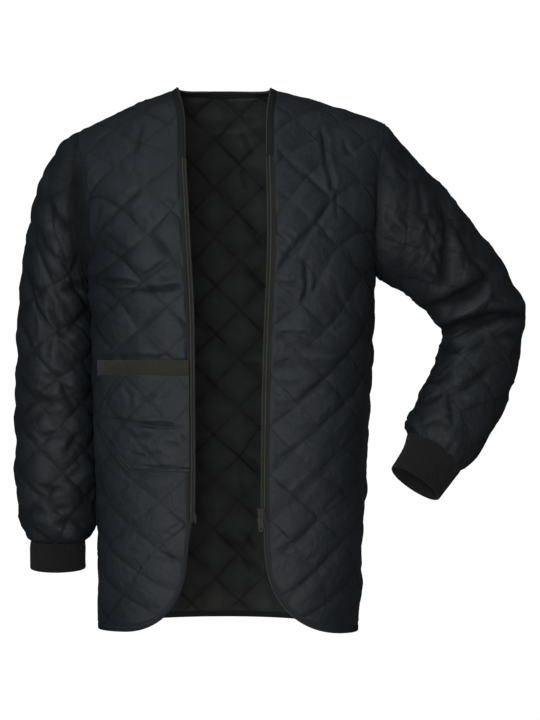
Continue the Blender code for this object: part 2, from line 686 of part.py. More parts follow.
def make_slider(materials, parts, cutters):
    """The slider: a tapered block slotted for the tape, with a bridge over the pull tab's bar."""
    centre = tape_edge(LEFT, SLIDER_Z)
    material = materials["dark_metal"]
    size = (SLIDER_TOP_WIDTH, SLIDER_THICK, SLIDER_LENGTH)
    slider = add_box("zip_slider", centre, size, 0.0, material, parts)
    narrowing = SLIDER_BOTTOM_WIDTH / SLIDER_TOP_WIDTH
    for vertex in slider.data.vertices:
        if vertex.co.z < 0:
            vertex.co.x *= narrowing
    rounding = slider.modifiers.new("rounded_edges", "BEVEL")
    rounding.width = 0.0011
    rounding.segments = 2

    slot_width = SLIDER_TOP_WIDTH / 2 + SLIDER_SLOT_REACH + 0.002
    slot_x = centre[0] - SLIDER_SLOT_REACH + slot_width / 2
    slot_centre = (slot_x, centre[1], centre[2])
    slot_size = (slot_width, SLIDER_SLOT, SLIDER_LENGTH + 0.004)
    slot = add_box("slider_slot", slot_centre, slot_size, 0.0, material, cutters)
    cut_or_join(slider, slot, "DIFFERENCE")

    front = centre[1] - SLIDER_THICK / 2
    sunk = 0.0008
    tall = BRIDGE_CLEAR + BRIDGE_THICK + sunk
    bridge_centre = (centre[0], front + sunk - tall / 2, centre[2])
    bridge_size = (BRIDGE_WIDTH, tall, BRIDGE_LENGTH)
    bridge = add_box("slider_bridge", bridge_centre, bridge_size, 0.0, material, cutters)
    clear_centre = (centre[0], front - BRIDGE_CLEAR / 2 + sunk, centre[2])
    clear_size = (BRIDGE_WIDTH + 0.002, BRIDGE_CLEAR + 2 * sunk, BRIDGE_LENGTH - 2 * BRIDGE_THICK)
    arch = add_box("bridge_arch", clear_centre, clear_size, 0.0, material, cutters)
    cut_or_join(bridge, arch, "DIFFERENCE")
    cut_or_join(slider, bridge, "UNION")


def make_pull(materials, parts, cutters):
    """The pull tab: a flat tab with a window, whose top bar turns under the slider's bridge."""
    edge = tape_edge(LEFT, SLIDER_Z)
    axis = (edge[0], edge[1] - SLIDER_THICK / 2 - BRIDGE_CLEAR / 2, edge[2])
    material = materials["dark_metal"]
    size = (PULL_WIDTH, PULL_THICK, PULL_LENGTH)
    pull = bpy.data.objects.new("zip_pull", bpy.data.meshes.new("zip_pull"))
    shape = bmesh.new()
    low = Matrix.Translation((0.0, 0.0, (PULL_THICK - PULL_LENGTH) / 2))
    bmesh.ops.create_cube(shape, size=1.0, matrix=low @ Matrix.Diagonal((*size, 1.0)))
    bottom_corners = [
        edge for edge in shape.edges
        if all(vertex.co.z < -PULL_LENGTH / 2 for vertex in edge.verts)
        and abs(edge.verts[0].co.x - edge.verts[1].co.x) < PULL_WIDTH / 2
    ]
    bmesh.ops.bevel(shape, geom=bottom_corners, offset=0.0026, segments=4, profile=0.5, affect="EDGES")
    shape.to_mesh(pull.data)
    shape.free()
    pull.data.materials.append(material)
    pull.location = axis
    parts.objects.link(pull)

    window_size = (PULL_WINDOW_WIDTH, 4 * PULL_THICK, PULL_WINDOW_LENGTH - PULL_THICK / 2)
    window_middle = (axis[0], axis[1], axis[2] - (PULL_WINDOW_LENGTH + PULL_THICK / 2) / 2)
    window = add_box("pull_window", window_middle, window_size, 0.0, material, cutters)
    cut_or_join(pull, window, "DIFFERENCE")
    hole = bpy.data.objects.new("pull_hole", bpy.data.meshes.new("pull_hole"))
    shape = bmesh.new()
    bmesh.ops.create_cone(
        shape, cap_ends=True, segments=20, radius1=PULL_HOLE_RADIUS, radius2=PULL_HOLE_RADIUS,
        depth=4 * PULL_THICK, matrix=Matrix.Rotation(np.pi / 2, 4, "X"),
    )
    shape.to_mesh(hole.data)
    shape.free()
    hole.location = (axis[0], axis[1], axis[2] - PULL_HOLE_DOWN)
    cutters.objects.link(hole)
    cut_or_join(pull, hole, "DIFFERENCE")


def make_zip_ends(materials, parts):
    """The box below the slider and, on the other tape, the pin that goes into it."""
    for side, name, size in ((LEFT, "zip_box", BOX_SIZE), (RIGHT, "zip_pin", PIN_SIZE)):
        centre = tape_edge(side, ZIP_BOTTOM_Z + size[2] / 2 - 0.0025)
        centre[0] -= side * (size[0] / 2 + SEAM_GAP)
        add_box(name, centre, size, 0.0005, materials["dark_plastic"], parts)


def main():
    clear_scene()
    parts = bpy.data.collections.new("quilted_parka_liner")
    cutters = bpy.data.collections.new("cutters")
    for collection in (parts, cutters):
        bpy.context.scene.collection.children.link(collection)
    cutters.hide_render = True
    materials = {name: make_material(name) for name in FINISHES}
    make_cloth(materials, parts)
    make_slider(materials, parts, cutters)
    make_pull(materials, parts, cutters)
    make_zip_ends(materials, parts)


main()
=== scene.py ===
"""A collarless quilted parka liner, worn open and empty inside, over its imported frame.

Units are metres and +Z is up. The fronts face -Y, and +X is the wearer's left. Each section makes
one piece of the garment, or one pair, in the order in which the liner is sewn together. Only
the tables of creases are in millimetres.
"""

from collections import namedtuple

import bmesh
import bpy
import numpy as np
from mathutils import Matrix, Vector


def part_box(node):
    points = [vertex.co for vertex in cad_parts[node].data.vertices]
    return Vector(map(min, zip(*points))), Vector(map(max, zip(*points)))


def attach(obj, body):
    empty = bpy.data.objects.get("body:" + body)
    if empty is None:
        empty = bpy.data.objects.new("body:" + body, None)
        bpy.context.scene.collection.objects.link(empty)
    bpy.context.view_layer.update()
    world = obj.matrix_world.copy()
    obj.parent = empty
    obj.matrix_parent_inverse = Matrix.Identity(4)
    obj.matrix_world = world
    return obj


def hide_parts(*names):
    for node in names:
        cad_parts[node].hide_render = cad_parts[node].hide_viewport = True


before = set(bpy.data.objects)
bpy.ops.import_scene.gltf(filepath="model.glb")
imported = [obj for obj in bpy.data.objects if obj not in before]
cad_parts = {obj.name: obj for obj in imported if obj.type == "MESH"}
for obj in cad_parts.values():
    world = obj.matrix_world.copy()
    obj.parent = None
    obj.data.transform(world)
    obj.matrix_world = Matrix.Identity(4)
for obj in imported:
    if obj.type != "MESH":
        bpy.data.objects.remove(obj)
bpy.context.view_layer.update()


# ---- The fronts
# Each front is one cut of quilt: a navy shell, thin wadding and an olive lining, stitched through
# in diamonds. It hangs from the shoulder seam, and its lower front corner is cut round.

RIGHT, LEFT = -1, 1  # the wearer's right is at -X
SIDE_NAME = {RIGHT: "right", LEFT: "left"}

UNDERARM_Z = -0.288
ZIP_BOTTOM_Z = -0.664
NECK_SIDE_Z = -0.002
SHOULDER_POWER = 1.2  # above 1 rounds the shoulder's fall from neck to sleeve
SECTION_POWER = 2.4  # superellipse of the body's plan: 2 is an ellipse, more is squarer
RISE_POWER = 1.3  # above 1 lets a front rise late on its way up the armhole
ARMHOLE_CUTS = 26  # degrees that the armhole cuts off the body's quarter turn
ARMHOLE_CUT_BY = 0.25  # by this share of its way up from the underarm
ARMHOLE_BOW = 0.005
ARMHOLE_SQUARE = 0.28  # how much squarer than an ellipse the armhole's ring is

# The body from hem to underarm: the side seams, and the middle of front and back.
Body = namedtuple("Body", "z right_side left_side front back")
BODY = (
    Body(-0.832, -0.1978, 0.2043, -0.140, 0.132),
    Body(-0.700, -0.1988, 0.2110, -0.144, 0.130),
    Body(-0.560, -0.2028, 0.2175, -0.148, 0.128),
    Body(-0.405, -0.2060, 0.2245, -0.150, 0.130),
    Body(-0.288, -0.2090, 0.2300, -0.148, 0.134),
)

# The free edge of each front's cloth, from where its corner begins up to the neck point.
Edge = namedtuple("Edge", "z right left")
FRONT_EDGE = (
    Edge(-0.832, -0.0600, 0.0640),
    Edge(-0.690, -0.0580, 0.0640),
    Edge(-0.664, -0.0540, 0.0630),
    Edge(-0.640, -0.0535, 0.0630),
    Edge(-0.480, -0.0535, 0.0645),
    Edge(-0.405, -0.0540, 0.0665),
    Edge(-0.330, -0.0555, 0.0695),
    Edge(-0.255, -0.0600, 0.0725),
    Edge(-0.180, -0.0640, 0.0725),
    Edge(-0.125, -0.0675, 0.0710),
    Edge(-0.090, -0.0680, 0.0700),
    Edge(-0.040, -0.0715, 0.0715),
    Edge(0.000, -0.0820, 0.0760),
)

Corner = namedtuple("Corner", "width height power")
CORNER = {RIGHT: Corner(0.096, 0.1125, 2.2), LEFT: Corner(0.118, 0.128, 2.3)}
HEM_SIDE_Z = {RIGHT: -0.8285, LEFT: -0.8325}
FRONT_HEM_RISE = {RIGHT: 0.0040, LEFT: 0.0065}

# The armhole's seam, as the outer and inner ends of its ring, then its depth.
Ring = namedtuple("Ring", "outer_x outer_z inner_x inner_z middle_y half_depth")
ARMHOLE = {
    RIGHT: Ring(-0.2290, -0.0655, -0.2090, -0.2880, 0.000, 0.072),
    LEFT: Ring(0.2450, -0.0525, 0.2300, -0.2880, 0.000, 0.072),
}

FRONT_FINENESS = 0.0024  # size of the finest cell of the fronts' cloth
EVEN_Z = -0.45  # the height at which the points of the fronts and the back are evenly apart
SIDE_EASE = 0.70  # the least part of the cloth's run that its stitch lines are set out by
STITCHED_OUT = -0.0013  # the shell at a stitch line, from the form's outer face
STITCHED_IN = 0.0027  # the lining at a stitch line
SHELL_LOFT = 0.0056  # how far the shell puffs out in the middle of a diamond
LINING_LOFT = 0.0042


def unit(vectors):
    """Vectors brought to a length of one."""
    return vectors / np.linalg.norm(vectors, axis=-1, keepdims=True)


def smoothstep(value):
    """A soft step: 0 up to a value of 0, and 1 from a value of 1 on."""
    value = np.clip(value, 0.0, 1.0)
    return value * value * (3 - 2 * value)


def smooth_line(knots, values, place, level_top=False):
    """Values read at a place on a smooth curve through the knots."""
    slopes = np.gradient(values, knots)
    if level_top:
        slopes[-1] = 0.0
    place = np.clip(place, knots[0], knots[-1])
    low = np.clip(np.searchsorted(knots, place) - 1, 0, len(knots) - 2)
    span = knots[low + 1] - knots[low]
    t = (place - knots[low]) / span
    return (
        values[low] * (2 * t**3 - 3 * t**2 + 1)
        + values[low + 1] * (3 * t**2 - 2 * t**3)
        + span * slopes[low] * (t**3 - 2 * t**2 + t)
        + span * slopes[low + 1] * (t**3 - t**2)
    )


def along(table, column, z, level_top=False):
    """A column of the table at height z, which is each row's first value."""
    knots = np.array([row[0] for row in table])
    values = np.array([getattr(row, column) for row in table])
    return smooth_line(knots, values, z, level_top)


def body_depth(face, z):
    """How far forward or back the middle of the body stands, level at the underarm."""
    return along(BODY, face, z, level_top=True)


def body_side(side, z):
    """Where a side seam is, across the body."""
    return along(BODY, SIDE_NAME[side] + "_side", z)


def front_edge(side, z):
    """Where the free edge of a front's cloth is, across the body."""
    return along(FRONT_EDGE, SIDE_NAME[side], z)


def plan_section(part, last_angle=np.pi / 2):
    """How far across and how deep the body's plan has gone, at a part (0 to 1) of its turn."""
    power = 2 / SECTION_POWER
    depth_end = max(np.cos(last_angle), 0.0) ** power
    angle = part * last_angle
    across = np.sin(angle) ** power / np.sin(last_angle) ** power
    depth = (np.maximum(np.cos(angle), 0.0) ** power - depth_end) / (1 - depth_end)
    return across, depth


def armhole_turn(row):
    """How far a section above the underarm turns before the armhole cuts it off."""
    return np.radians(90 - ARMHOLE_CUTS * smoothstep(row / ARMHOLE_CUT_BY))


def rise(row):
    """Share of the way from underarm to shoulder that a front has gone, at an armhole row."""
    return np.sin(np.pi / 2 * row**RISE_POWER)


def arm_rings(side, outer, inner, half_depth, down, fade, turn):
    """Rings round an arm and the directions into their cloth. Turn 0 is the underarm, 1/4 the
    front, 1/2 the shoulder and 3/4 the back. fade is 1 at the armhole and 0 down the arm."""
    half_width = (outer - inner) / 2
    forward = unit(np.cross(half_width, down))
    forward = forward * -np.sign(forward[:, 1:2])
    direction = unit(np.cross(forward, half_width)) * -side
    forward = (forward * half_depth[:, None])[:, None]
    half_width = half_width[:, None]
    angle = (2 * np.pi * np.asarray(turn))[None, :, None]
    fade = fade[:, None, None]
    across = -np.cos(angle)
    ahead = np.sign(np.sin(angle)) * np.abs(np.sin(angle)) ** (1 - ARMHOLE_SQUARE * fade)
    bow = -direction[:, None] * ARMHOLE_BOW * fade * np.sin(angle) ** 2
    points = ((outer + inner) / 2)[:, None] + across * half_width + ahead * forward + bow
    inward = -across * half_width / np.sum(half_width**2, axis=-1, keepdims=True)
    inward = inward - ahead * forward / np.sum(forward**2, axis=-1, keepdims=True)
    return points, unit(inward)


def armhole(side, turn):
    """Points of the armhole's seam at a part (0 to 1) of its turn, and the way into the cloth."""
    ring = ARMHOLE[side]
    outer = np.array([[ring.outer_x, ring.middle_y, ring.outer_z]])
    inner = np.array([[ring.inner_x, ring.middle_y, ring.inner_z]])
    out = np.array([[side, 0.0, 0.0]])
    points, inward = arm_rings(
        side, outer, inner, np.array([ring.half_depth]), out, np.ones(1), np.atleast_1d(turn)
    )
    return points[0], inward[0]


def corner_height(side, across):
    """How far the hem has risen at a distance across from the front edge."""
    corner = CORNER[side]
    left_over = np.clip(1 - across / corner.width, 0.0, 1.0)
    return corner.height * (1 - (1 - left_over**corner.power) ** (1 / corner.power))


def front_body(side, part, z, hem_share=None):
    """A row of a front below the underarm. hem_share 1 is the hem, and 0 the zip's bottom."""
    across, _ = plan_section(part)
    if hem_share is not None:
        hem_width = abs(body_side(side, HEM_SIDE_Z[side]) - front_edge(side, HEM_SIDE_Z[side]))
        corner = CORNER[side]
        meets = corner.width / hem_width
        part_there = 2 / np.pi * np.arcsin(meets ** (SECTION_POWER / 2))
        rounded = meets * (1 - np.cos(np.pi / 2 * np.minimum(part / part_there, 1.0)))
        rounded = np.where(part < part_there, rounded, across)
        across = across + (rounded - across) * smoothstep(hem_share)
        low = HEM_SIDE_Z[side] + FRONT_HEM_RISE[side] * (1 - across**2)
        low = low + corner_height(side, across * hem_width)
        z = low + (ZIP_BOTTOM_Z - low) * (1 - hem_share)
    z = z + 0.0 * part
    depth = (1 - across**SECTION_POWER) ** (1 / SECTION_POWER)
    edge = front_edge(side, z)
    x = edge + (body_side(side, z) - edge) * across
    return np.stack([x, body_depth("front", z) * depth, z], axis=-1)


def front_chest(side, part, row):
    """A row of a front from the underarm to the shoulder seam."""
    up = rise(row)
    edge_z = UNDERARM_Z + (NECK_SIDE_Z - UNDERARM_Z) * up
    edge_y = body_depth("front", UNDERARM_Z) * np.sqrt(max(0.0, 1 - up * up))
    arm = armhole(side, row / 2)[0][0]
    across, depth = plan_section(part, armhole_turn(row))
    edge_x = front_edge(side, edge_z)
    return np.stack([
        edge_x + (arm[0] - edge_x) * across,
        arm[1] + (edge_y - arm[1]) * depth,
        edge_z + (arm[2] - edge_z) * across**SHOULDER_POWER,
    ], axis=-1)


def path_run(points):
    """The length run along a line of points, from 0 at its first."""
    return np.concatenate([[0.0], np.cumsum(np.linalg.norm(np.diff(points, axis=0), axis=1))])


def even(values, points, fineness):
    """Values read where steps of about the fineness fall on the line through the points."""
    run = path_run(points)
    count = int(round(run[-1] / fineness)) + 1
    return np.interp(np.linspace(0.0, run[-1], count), run, values)


def soften(grid, passes):
    """Smooths a grid along its columns, with its borders kept where they are."""
    for _ in range(passes):
        grid[1:-1, 1:-1] += 0.25 * (grid[2:, 1:-1] + grid[:-2, 1:-1] - 2 * grid[1:-1, 1:-1])
    return grid


def run_along(grid, axis):
    """The length run along each line of a grid from its first point."""
    steps = np.linalg.norm(np.diff(grid, axis=axis), axis=-1)
    start = np.zeros_like(np.take(steps, [0], axis=axis))
    return np.cumsum(np.concatenate([start, steps], axis=axis), axis=axis)


WANDER_CELLS = 97  # cells a side before the uneven values repeat
WANDER_START = 40.0  # in cells, so that the cloth lies well inside them


def wander(u, v, size, seed):
    """Smooth uneven values from -1 to 1 that change over about size metres of cloth."""
    table = np.random.default_rng(seed).uniform(-1, 1, (WANDER_CELLS, WANDER_CELLS))
    x, y = np.asarray(u) / size + WANDER_START, np.asarray(v) / size + WANDER_START
    i, j = np.floor(x).astype(int), np.floor(y).astype(int)
    s, t = smoothstep(x - i), smoothstep(y - j)
    i, j, next_i, next_j = (cell % WANDER_CELLS for cell in (i, j, i + 1, j + 1))
    low = table[i, j] * (1 - s) + table[next_i, j] * s
    high = table[i, next_j] * (1 - s) + table[next_i, next_j] * s
    return low * (1 - t) + high * t


# The wrinkles of crushed cloth: how wide each kind is, and its share of the height.
SWELL_SIZE, RIDGE_SIZE, SMALL_RIDGE_SIZE = 0.045, 0.030, 0.0150
SWELL_SHARE, RIDGE_SHARE, SMALL_RIDGE_SHARE = 0.48, 0.42, 0.15
RIDGE_RUN, SMALL_RIDGE_RUN = (0.7, 1.35), (1.3, 0.75)  # below 1 lengthens, above 1 shortens
CRUMPLE_COS, CRUMPLE_SIN = 0.81, 0.58  # the way the wrinkles run on the cut
BROAD_BEND, SMALL_BEND = (0.016, 0.050), (0.007, 0.019)  # how far they bend, and over what length
PATCH_SIZE = 0.075  # the crushed patches, with smoother cloth between them
PATCH_LEAST, PATCH_SHARP = 0.35, 0.9


def crumple(u, v, seed):
    """Uneven wrinkling of crushed cloth, from broad swells to small sharp-backed ridges."""
    bent = BROAD_BEND[0] * wander(v, u, BROAD_BEND[1], seed + 3)
    bent = bent + SMALL_BEND[0] * wander(v, u, SMALL_BEND[1], seed + 4)
    x = CRUMPLE_COS * u + CRUMPLE_SIN * v + bent
    y = CRUMPLE_COS * v - CRUMPLE_SIN * u - bent
    swell = wander(x, y, SWELL_SIZE, seed)
    along, over = RIDGE_RUN
    ridge = 1 - 2 * np.sqrt(np.abs(wander(x * along, y * over, RIDGE_SIZE, seed + 1)))
    along, over = SMALL_RIDGE_RUN
    small = 1 - 2 * np.sqrt(np.abs(wander(x * along, y * over, SMALL_RIDGE_SIZE, seed + 2)))
    patchy = smoothstep(0.5 + PATCH_SHARP * wander(u, v, PATCH_SIZE, seed + 5))
    patchy = PATCH_LEAST + (1 - PATCH_LEAST) * patchy
    return SWELL_SHARE * swell + patchy * (RIDGE_SHARE * ridge + SMALL_RIDGE_SHARE * small)


MILLIMETRE = 0.001
CREASE_STRAY = 0.0012  # how far a crease strays from the line laid for it
CREASE_STRAY_SIZE = 0.012
CREASE_POWER = 1.35  # the roundness of a trough: 2 is rounder, and 1 is sharp at the bottom
RIDGE_AWAY, RIDGE_WIDE = 2.3, 1.4  # the ridge beside a trough, against the trough's width
RIDGE_TALL = 0.30  # and against its depth


def creases(form, strokes):
    """Height of creases given in millimetres: each is a depth, a width and the x and z of points it
    runs through. A trough has a low ridge on each side, and a negative depth is a ridge."""
    x, z = form[..., 0], form[..., 2]
    height = np.zeros_like(x)
    x = x + CREASE_STRAY * wander(x, z, CREASE_STRAY_SIZE, 201)
    z = z + CREASE_STRAY * wander(x, z, CREASE_STRAY_SIZE, 202)
    x, z = x / MILLIMETRE, z / MILLIMETRE
    for depth, width, *points in strokes:
        nearest = np.full(x.shape, np.inf)
        done = np.zeros_like(x)
        pieces = list(zip(points, points[1:]))
        for index, ((x0, z0), (x1, z1)) in enumerate(pieces):
            run = (x1 - x0) ** 2 + (z1 - z0) ** 2
            t = np.clip(((x - x0) * (x1 - x0) + (z - z0) * (z1 - z0)) / run, 0.0, 1.0)
            far = np.hypot(x - x0 - t * (x1 - x0), z - z0 - t * (z1 - z0))
            closer = far < nearest
            nearest = np.where(closer, far, nearest)
            done = np.where(closer, (index + t) / len(pieces), done)
        taper = np.sqrt(np.clip(4 * np.minimum(done + 0.04, 1.04 - done), 0.0, 1.0))
        sink = np.exp(-((nearest / width) ** CREASE_POWER))
        ridge = np.exp(-(((nearest - RIDGE_AWAY * width) / (RIDGE_WIDE * width)) ** 2))
        height += depth * taper * (RIDGE_TALL * ridge - sink)
    return height * MILLIMETRE


def facing_in(grid, sign):
    """Unit directions into the cloth at each point of a grid."""
    return unit(np.cross(np.gradient(grid, axis=1), np.gradient(grid, axis=0)) * sign)


SEAM_TURN = 0.012


def turn_towards(inward, shared, distance):
    """Bends the directions into the cloth to the one shared at a seam, near that seam."""
    share = (1 - smoothstep(distance / SEAM_TURN))[..., None]
    return unit(inward * (1 - share) + shared * share)


# The grid of stitch lines on a cut: where one crossing lies, and the size of a diamond.
Quilting = namedtuple("Quilting", "across up wide tall")
LINE_STRAY = 0.0016  # how far the rows of stitches stray from straight
ACROSS_STRAY_SIZE, UP_STRAY_SIZE = 0.09, 0.10
PULL_REACH = 0.034  # how far round a crossing the worn cloth is drawn with it
PULL_REST = 0.12  # the share of the cloth's own place, which it falls back to between pulls


def quilt_lines(u, v, quilting, seed, pulled=()):
    """The two families of stitch lines: each falls where its value is a whole number. pulled are
    the places, on the cut, to which the worn cloth draws the nearest crossings."""
    u = u + LINE_STRAY * wander(u, v, ACROSS_STRAY_SIZE, seed)
    v = v + LINE_STRAY * wander(u, v, UP_STRAY_SIZE, seed + 1)
    rising = (u - quilting.across) / quilting.wide + (v - quilting.up) / quilting.tall
    falling = (u - quilting.across) / quilting.wide - (v - quilting.up) / quilting.tall
    total, rising_pull, falling_pull = np.full(u.shape, PULL_REST), 0.0, 0.0
    for x, y in pulled:
        right, up = (x - quilting.across) / quilting.wide, (y - quilting.up) / quilting.tall
        share = np.exp(-((u - x) ** 2 + (v - y) ** 2) / PULL_REACH**2)
        total = total + share
        rising_pull = rising_pull + share * (np.round(right + up) - right - up)
        falling_pull = falling_pull + share * (np.round(right - up) - right + up)
    return rising + rising_pull / total, falling + falling_pull / total


def line_spacing(quilting):
    """How far two rows of stitches of the same way are apart."""
    return 1 / np.hypot(1 / quilting.wide, 1 / quilting.tall)


DIAMOND_CELLS = 61  # diamonds a side before their random values repeat


def each_diamond(rising, falling, seed):
    """A random value from -1 to 1 for the diamond that each point is in."""
    table = np.random.default_rng(seed).uniform(-1, 1, (DIAMOND_CELLS, DIAMOND_CELLS))
    cells = (np.floor(line).astype(int) % DIAMOND_CELLS for line in (rising, falling))
    return table[tuple(cells)]


DIP_REACH = 0.0056  # how far from a stitch line the cloth has risen most of its dip
DIP_SHARE = 0.30  # the dip's share of the puff, and the diamond's broad dome has the rest
DOME_POWER = 0.8  # below 1 makes the dome fuller
PUCKER_SIZE = 0.0075  # along the stitch line
PUCKER_REACH = 0.0110  # out from it
PUCKER_START = 0.0015
PUCKER_APART = 0.004  # by this much the puckers on one side of a line are ahead of the other's
FULLNESS = 0.90  # an even puff, which each diamond then varies in its fullness and its tilt
FULLNESS_VARIES, TILT_VARIES = 0.30, 0.95


def puffs(rising, falling, spacing, seed, tight=(1.0, 1.0)):
    """How far the cloth puffs between its stitch lines (0 to about 1), and its small puckers.
    tight is how hard the rising and the falling lines are pulled down."""
    near, dome, pucker = 1.0, 1.0, 0.0
    for line, other, odd, share in ((rising, falling, 3, tight[0]), (falling, rising, 4, tight[1])):
        whole = np.round(line)
        off = (line - whole) * spacing
        away = np.abs(off)
        near = near * (1 - share * np.exp(-away / DIP_REACH))
        dome = dome * (1 - share * (1 - np.abs(np.sin(np.pi * line))))
        place = other * spacing + PUCKER_APART * np.sign(off)
        own_row = whole * 0.37 + 0.5  # each line of stitches reads uneven values of its own
        wave = wander(place, own_row, PUCKER_SIZE, seed + odd)
        pucker = pucker + wave * np.exp(-away / PUCKER_REACH) * away / (away + PUCKER_START)
    height = DIP_SHARE * near + (1 - DIP_SHARE) * dome**DOME_POWER
    tilt = each_diamond(rising, falling, seed + 6) * (rising - np.floor(rising) - 0.5)
    tilt = tilt + each_diamond(rising, falling, seed + 7) * (falling - np.floor(falling) - 0.5)
    full = FULLNESS + FULLNESS_VARIES * each_diamond(rising, falling, seed + 5) + TILT_VARIES * tilt
    return height * full, pucker


def grid_quads(rows, columns, closed=False):
    """The corners of a grid's cells, round each cell in turn."""
    row, column = np.meshgrid(np.arange(rows - 1), np.arange(columns - (not closed)), indexing="ij")
    after = (column + 1) % columns
    low = row * columns
    cells = [low + column, low + after, low + columns + after, low + columns + column]
    return np.stack(cells, axis=-1).reshape(-1, 4)


def wall_faces(rows, columns, closed=False):
    """A wall's outer cells, its inner ones, and the rims that join them at the free edges."""
    outer = grid_quads(rows, columns, closed)
    count = rows * columns
    inner = outer[:, ::-1] + count
    last = (rows - 1) * columns
    edges = [np.arange(columns), last + np.arange(columns)[::-1]]
    if not closed:
        edges += [np.arange(rows)[::-1] * columns, np.arange(rows) * columns + columns - 1]
    rims = []
    for edge in edges:
        ends = np.roll(edge, -1) if closed else edge[1:]
        starts = edge if closed else edge[:-1]
        rims.append(np.stack([ends, starts, starts + count, ends + count], axis=-1))
    return outer, inner, np.concatenate(rims)


def add_piece(name, points, faces, materials, slots=None, maps=None):
    """A finished piece at the origin. slots gives each face's material, and maps its UV maps."""
    mesh = bpy.data.meshes.new(name)
    mesh.from_pydata(points.reshape(-1, 3).tolist(), [], [list(map(int, face)) for face in faces])
    for material in materials:
        mesh.materials.append(material)
    if slots is not None:
        mesh.polygons.foreach_set("material_index", np.asarray(slots, dtype=np.int32))
    corners = np.zeros(len(mesh.loops), dtype=np.int32)
    mesh.loops.foreach_get("vertex_index", corners)
    for title, (u, v) in (maps or {}).items():
        layer = mesh.uv_layers.new(name=title)
        both = np.stack([np.ravel(u), np.ravel(v)], axis=-1)[corners]
        layer.data.foreach_set("uv", both.ravel())
    shape = bmesh.new()
    shape.from_mesh(mesh)
    if shape.calc_volume(signed=True) < 0:
        bmesh.ops.reverse_faces(shape, faces=shape.faces)
        shape.to_mesh(mesh)
    shape.free()
    mesh.shade_smooth()
    mesh.set_sharp_from_angle(angle=np.radians(60))
    piece = bpy.data.objects.new(name, mesh)
    bpy.context.scene.collection.objects.link(piece)
    return piece


Nodes = namedtuple("Nodes", "add maths ramp tint noise weighed")


def node_maker(material):
    """Short ways to add nodes. A node's inputs go by name or number, and each may be a socket."""
    tree = material.node_tree

    def add(kind, inputs=None, **settings):
        made = tree.nodes.new("ShaderNode" + kind)
        for name, value in settings.items():
            setattr(made, name, value)
        for name, value in (inputs or {}).items():
            if isinstance(value, bpy.types.NodeSocket):
                tree.links.new(value, made.inputs[name])
            else:
                made.inputs[name].default_value = value
        return made

    def maths(operation, first, second=0.0):
        return add("Math", {0: first, 1: second}, operation=operation).outputs[0]

    def ramp(value, low, high, first=0.0, last=1.0, curve="LINEAR"):
        """Goes from first to last as the value goes from low to high."""
        reads = {"Value": value, 1: low, 2: high, 3: first, 4: last}
        return add("MapRange", reads, interpolation_type=curve).outputs[0]

    def tint(share, dark, light):
        mixed = add("Mix", {0: share, 6: (*dark, 1.0), 7: (*light, 1.0)}, data_type="RGBA")
        return mixed.outputs[2]

    def noise(place, scale, detail, roughness=0.5, distortion=0.0):
        reads = {"Vector": place, "Scale": scale, "Detail": detail, "Roughness": roughness}
        return add("TexNoise", {**reads, "Distortion": distortion}).outputs["Fac"]

    def weighed(*terms):
        """The sum of values, each times its weight."""
        total = 0.0
        for value, weight in terms:
            reads = {0: value, 1: weight, 2: total}
            total = add("Math", reads, operation="MULTIPLY_ADD").outputs[0]
        return total

    return Nodes(add, maths, ramp, tint, noise, weighed)


def new_finish(name, roughness, specular, sheen=0.0):
    """A material with its even values set on its shader, its sockets and its node maker."""
    material = bpy.data.materials.new(name)
    material.use_nodes = True
    shader = material.node_tree.nodes["Principled BSDF"]
    shader.inputs["Roughness"].default_value = roughness
    shader.inputs["Specular IOR Level"].default_value = specular
    shader.inputs["Sheen Weight"].default_value = sheen
    shader.inputs["Sheen Roughness"].default_value = 0.5
    return material, shader.inputs, node_maker(material)


def link_finish(material, sockets, colour, height, roughness=None):
    """Links a finish's colour, its bump from a height in metres, and its roughness."""
    tree = material.node_tree
    bump = tree.nodes.new("ShaderNodeBump")
    bump.inputs["Strength"].default_value = 1.0
    bump.inputs["Distance"].default_value = 1.0
    tree.links.new(height, bump.inputs["Height"])
    tree.links.new(bump.outputs["Normal"], sockets["Normal"])
    tree.links.new(colour, sockets["Base Color"])
    if roughness is not None:
        tree.links.new(roughness, sockets["Roughness"])


def split_map(nodes, name):
    """The two values that a UV map holds at each point."""
    split = nodes.add("SeparateXYZ", {0: nodes.add("UVMap", uv_map=name).outputs["UV"]})
    return split.outputs["X"], split.outputs["Y"]


SHELL_THREAD = 0.0006  # from one thread of the weave to the next
SHELL_WEAVE_DEEP = 0.000022


def woven_height(nodes):
    """Height of a plain weave, with threads along both ways of the cut."""
    turns = 2 * np.pi / SHELL_THREAD
    maths = nodes.maths
    waves = [maths("SINE", maths("MULTIPLY", way, turns)) for way in split_map(nodes, "cut")]
    return maths("MULTIPLY", maths("MULTIPLY", *waves), SHELL_WEAVE_DEEP)


STITCHES_A_SIDE = 17  # stitches along each side of a diamond
STITCH_GAP = 0.28  # the share of a stitch's length that is under the cloth
THREAD_HALF = 0.00045  # half the thread's width
DIAMOND_ACROSS = 0.054  # between two rows of stitches


def stitch_nodes(nodes):
    """The quilting thread (1 on a stitch) and how far a point is from each way's nearest row."""
    maths = nodes.maths
    lines = split_map(nodes, "quilting")
    threads, offs = [], []
    for line, other in (lines, lines[::-1]):
        shifted = maths("FRACT", maths("ADD", line, 100.5))
        off = maths("MULTIPLY", maths("ABSOLUTE", maths("SUBTRACT", shifted, 0.5)), DIAMOND_ACROSS)
        beat = maths("FRACT", nodes.weighed((other, STITCHES_A_SIDE), (0.5, 1.0)))
        sewn = maths("GREATER_THAN", beat, STITCH_GAP)
        threads.append(maths("MULTIPLY", maths("LESS_THAN", off, THREAD_HALF), sewn))
        offs.append(off)
    return maths("MAXIMUM", *threads), offs


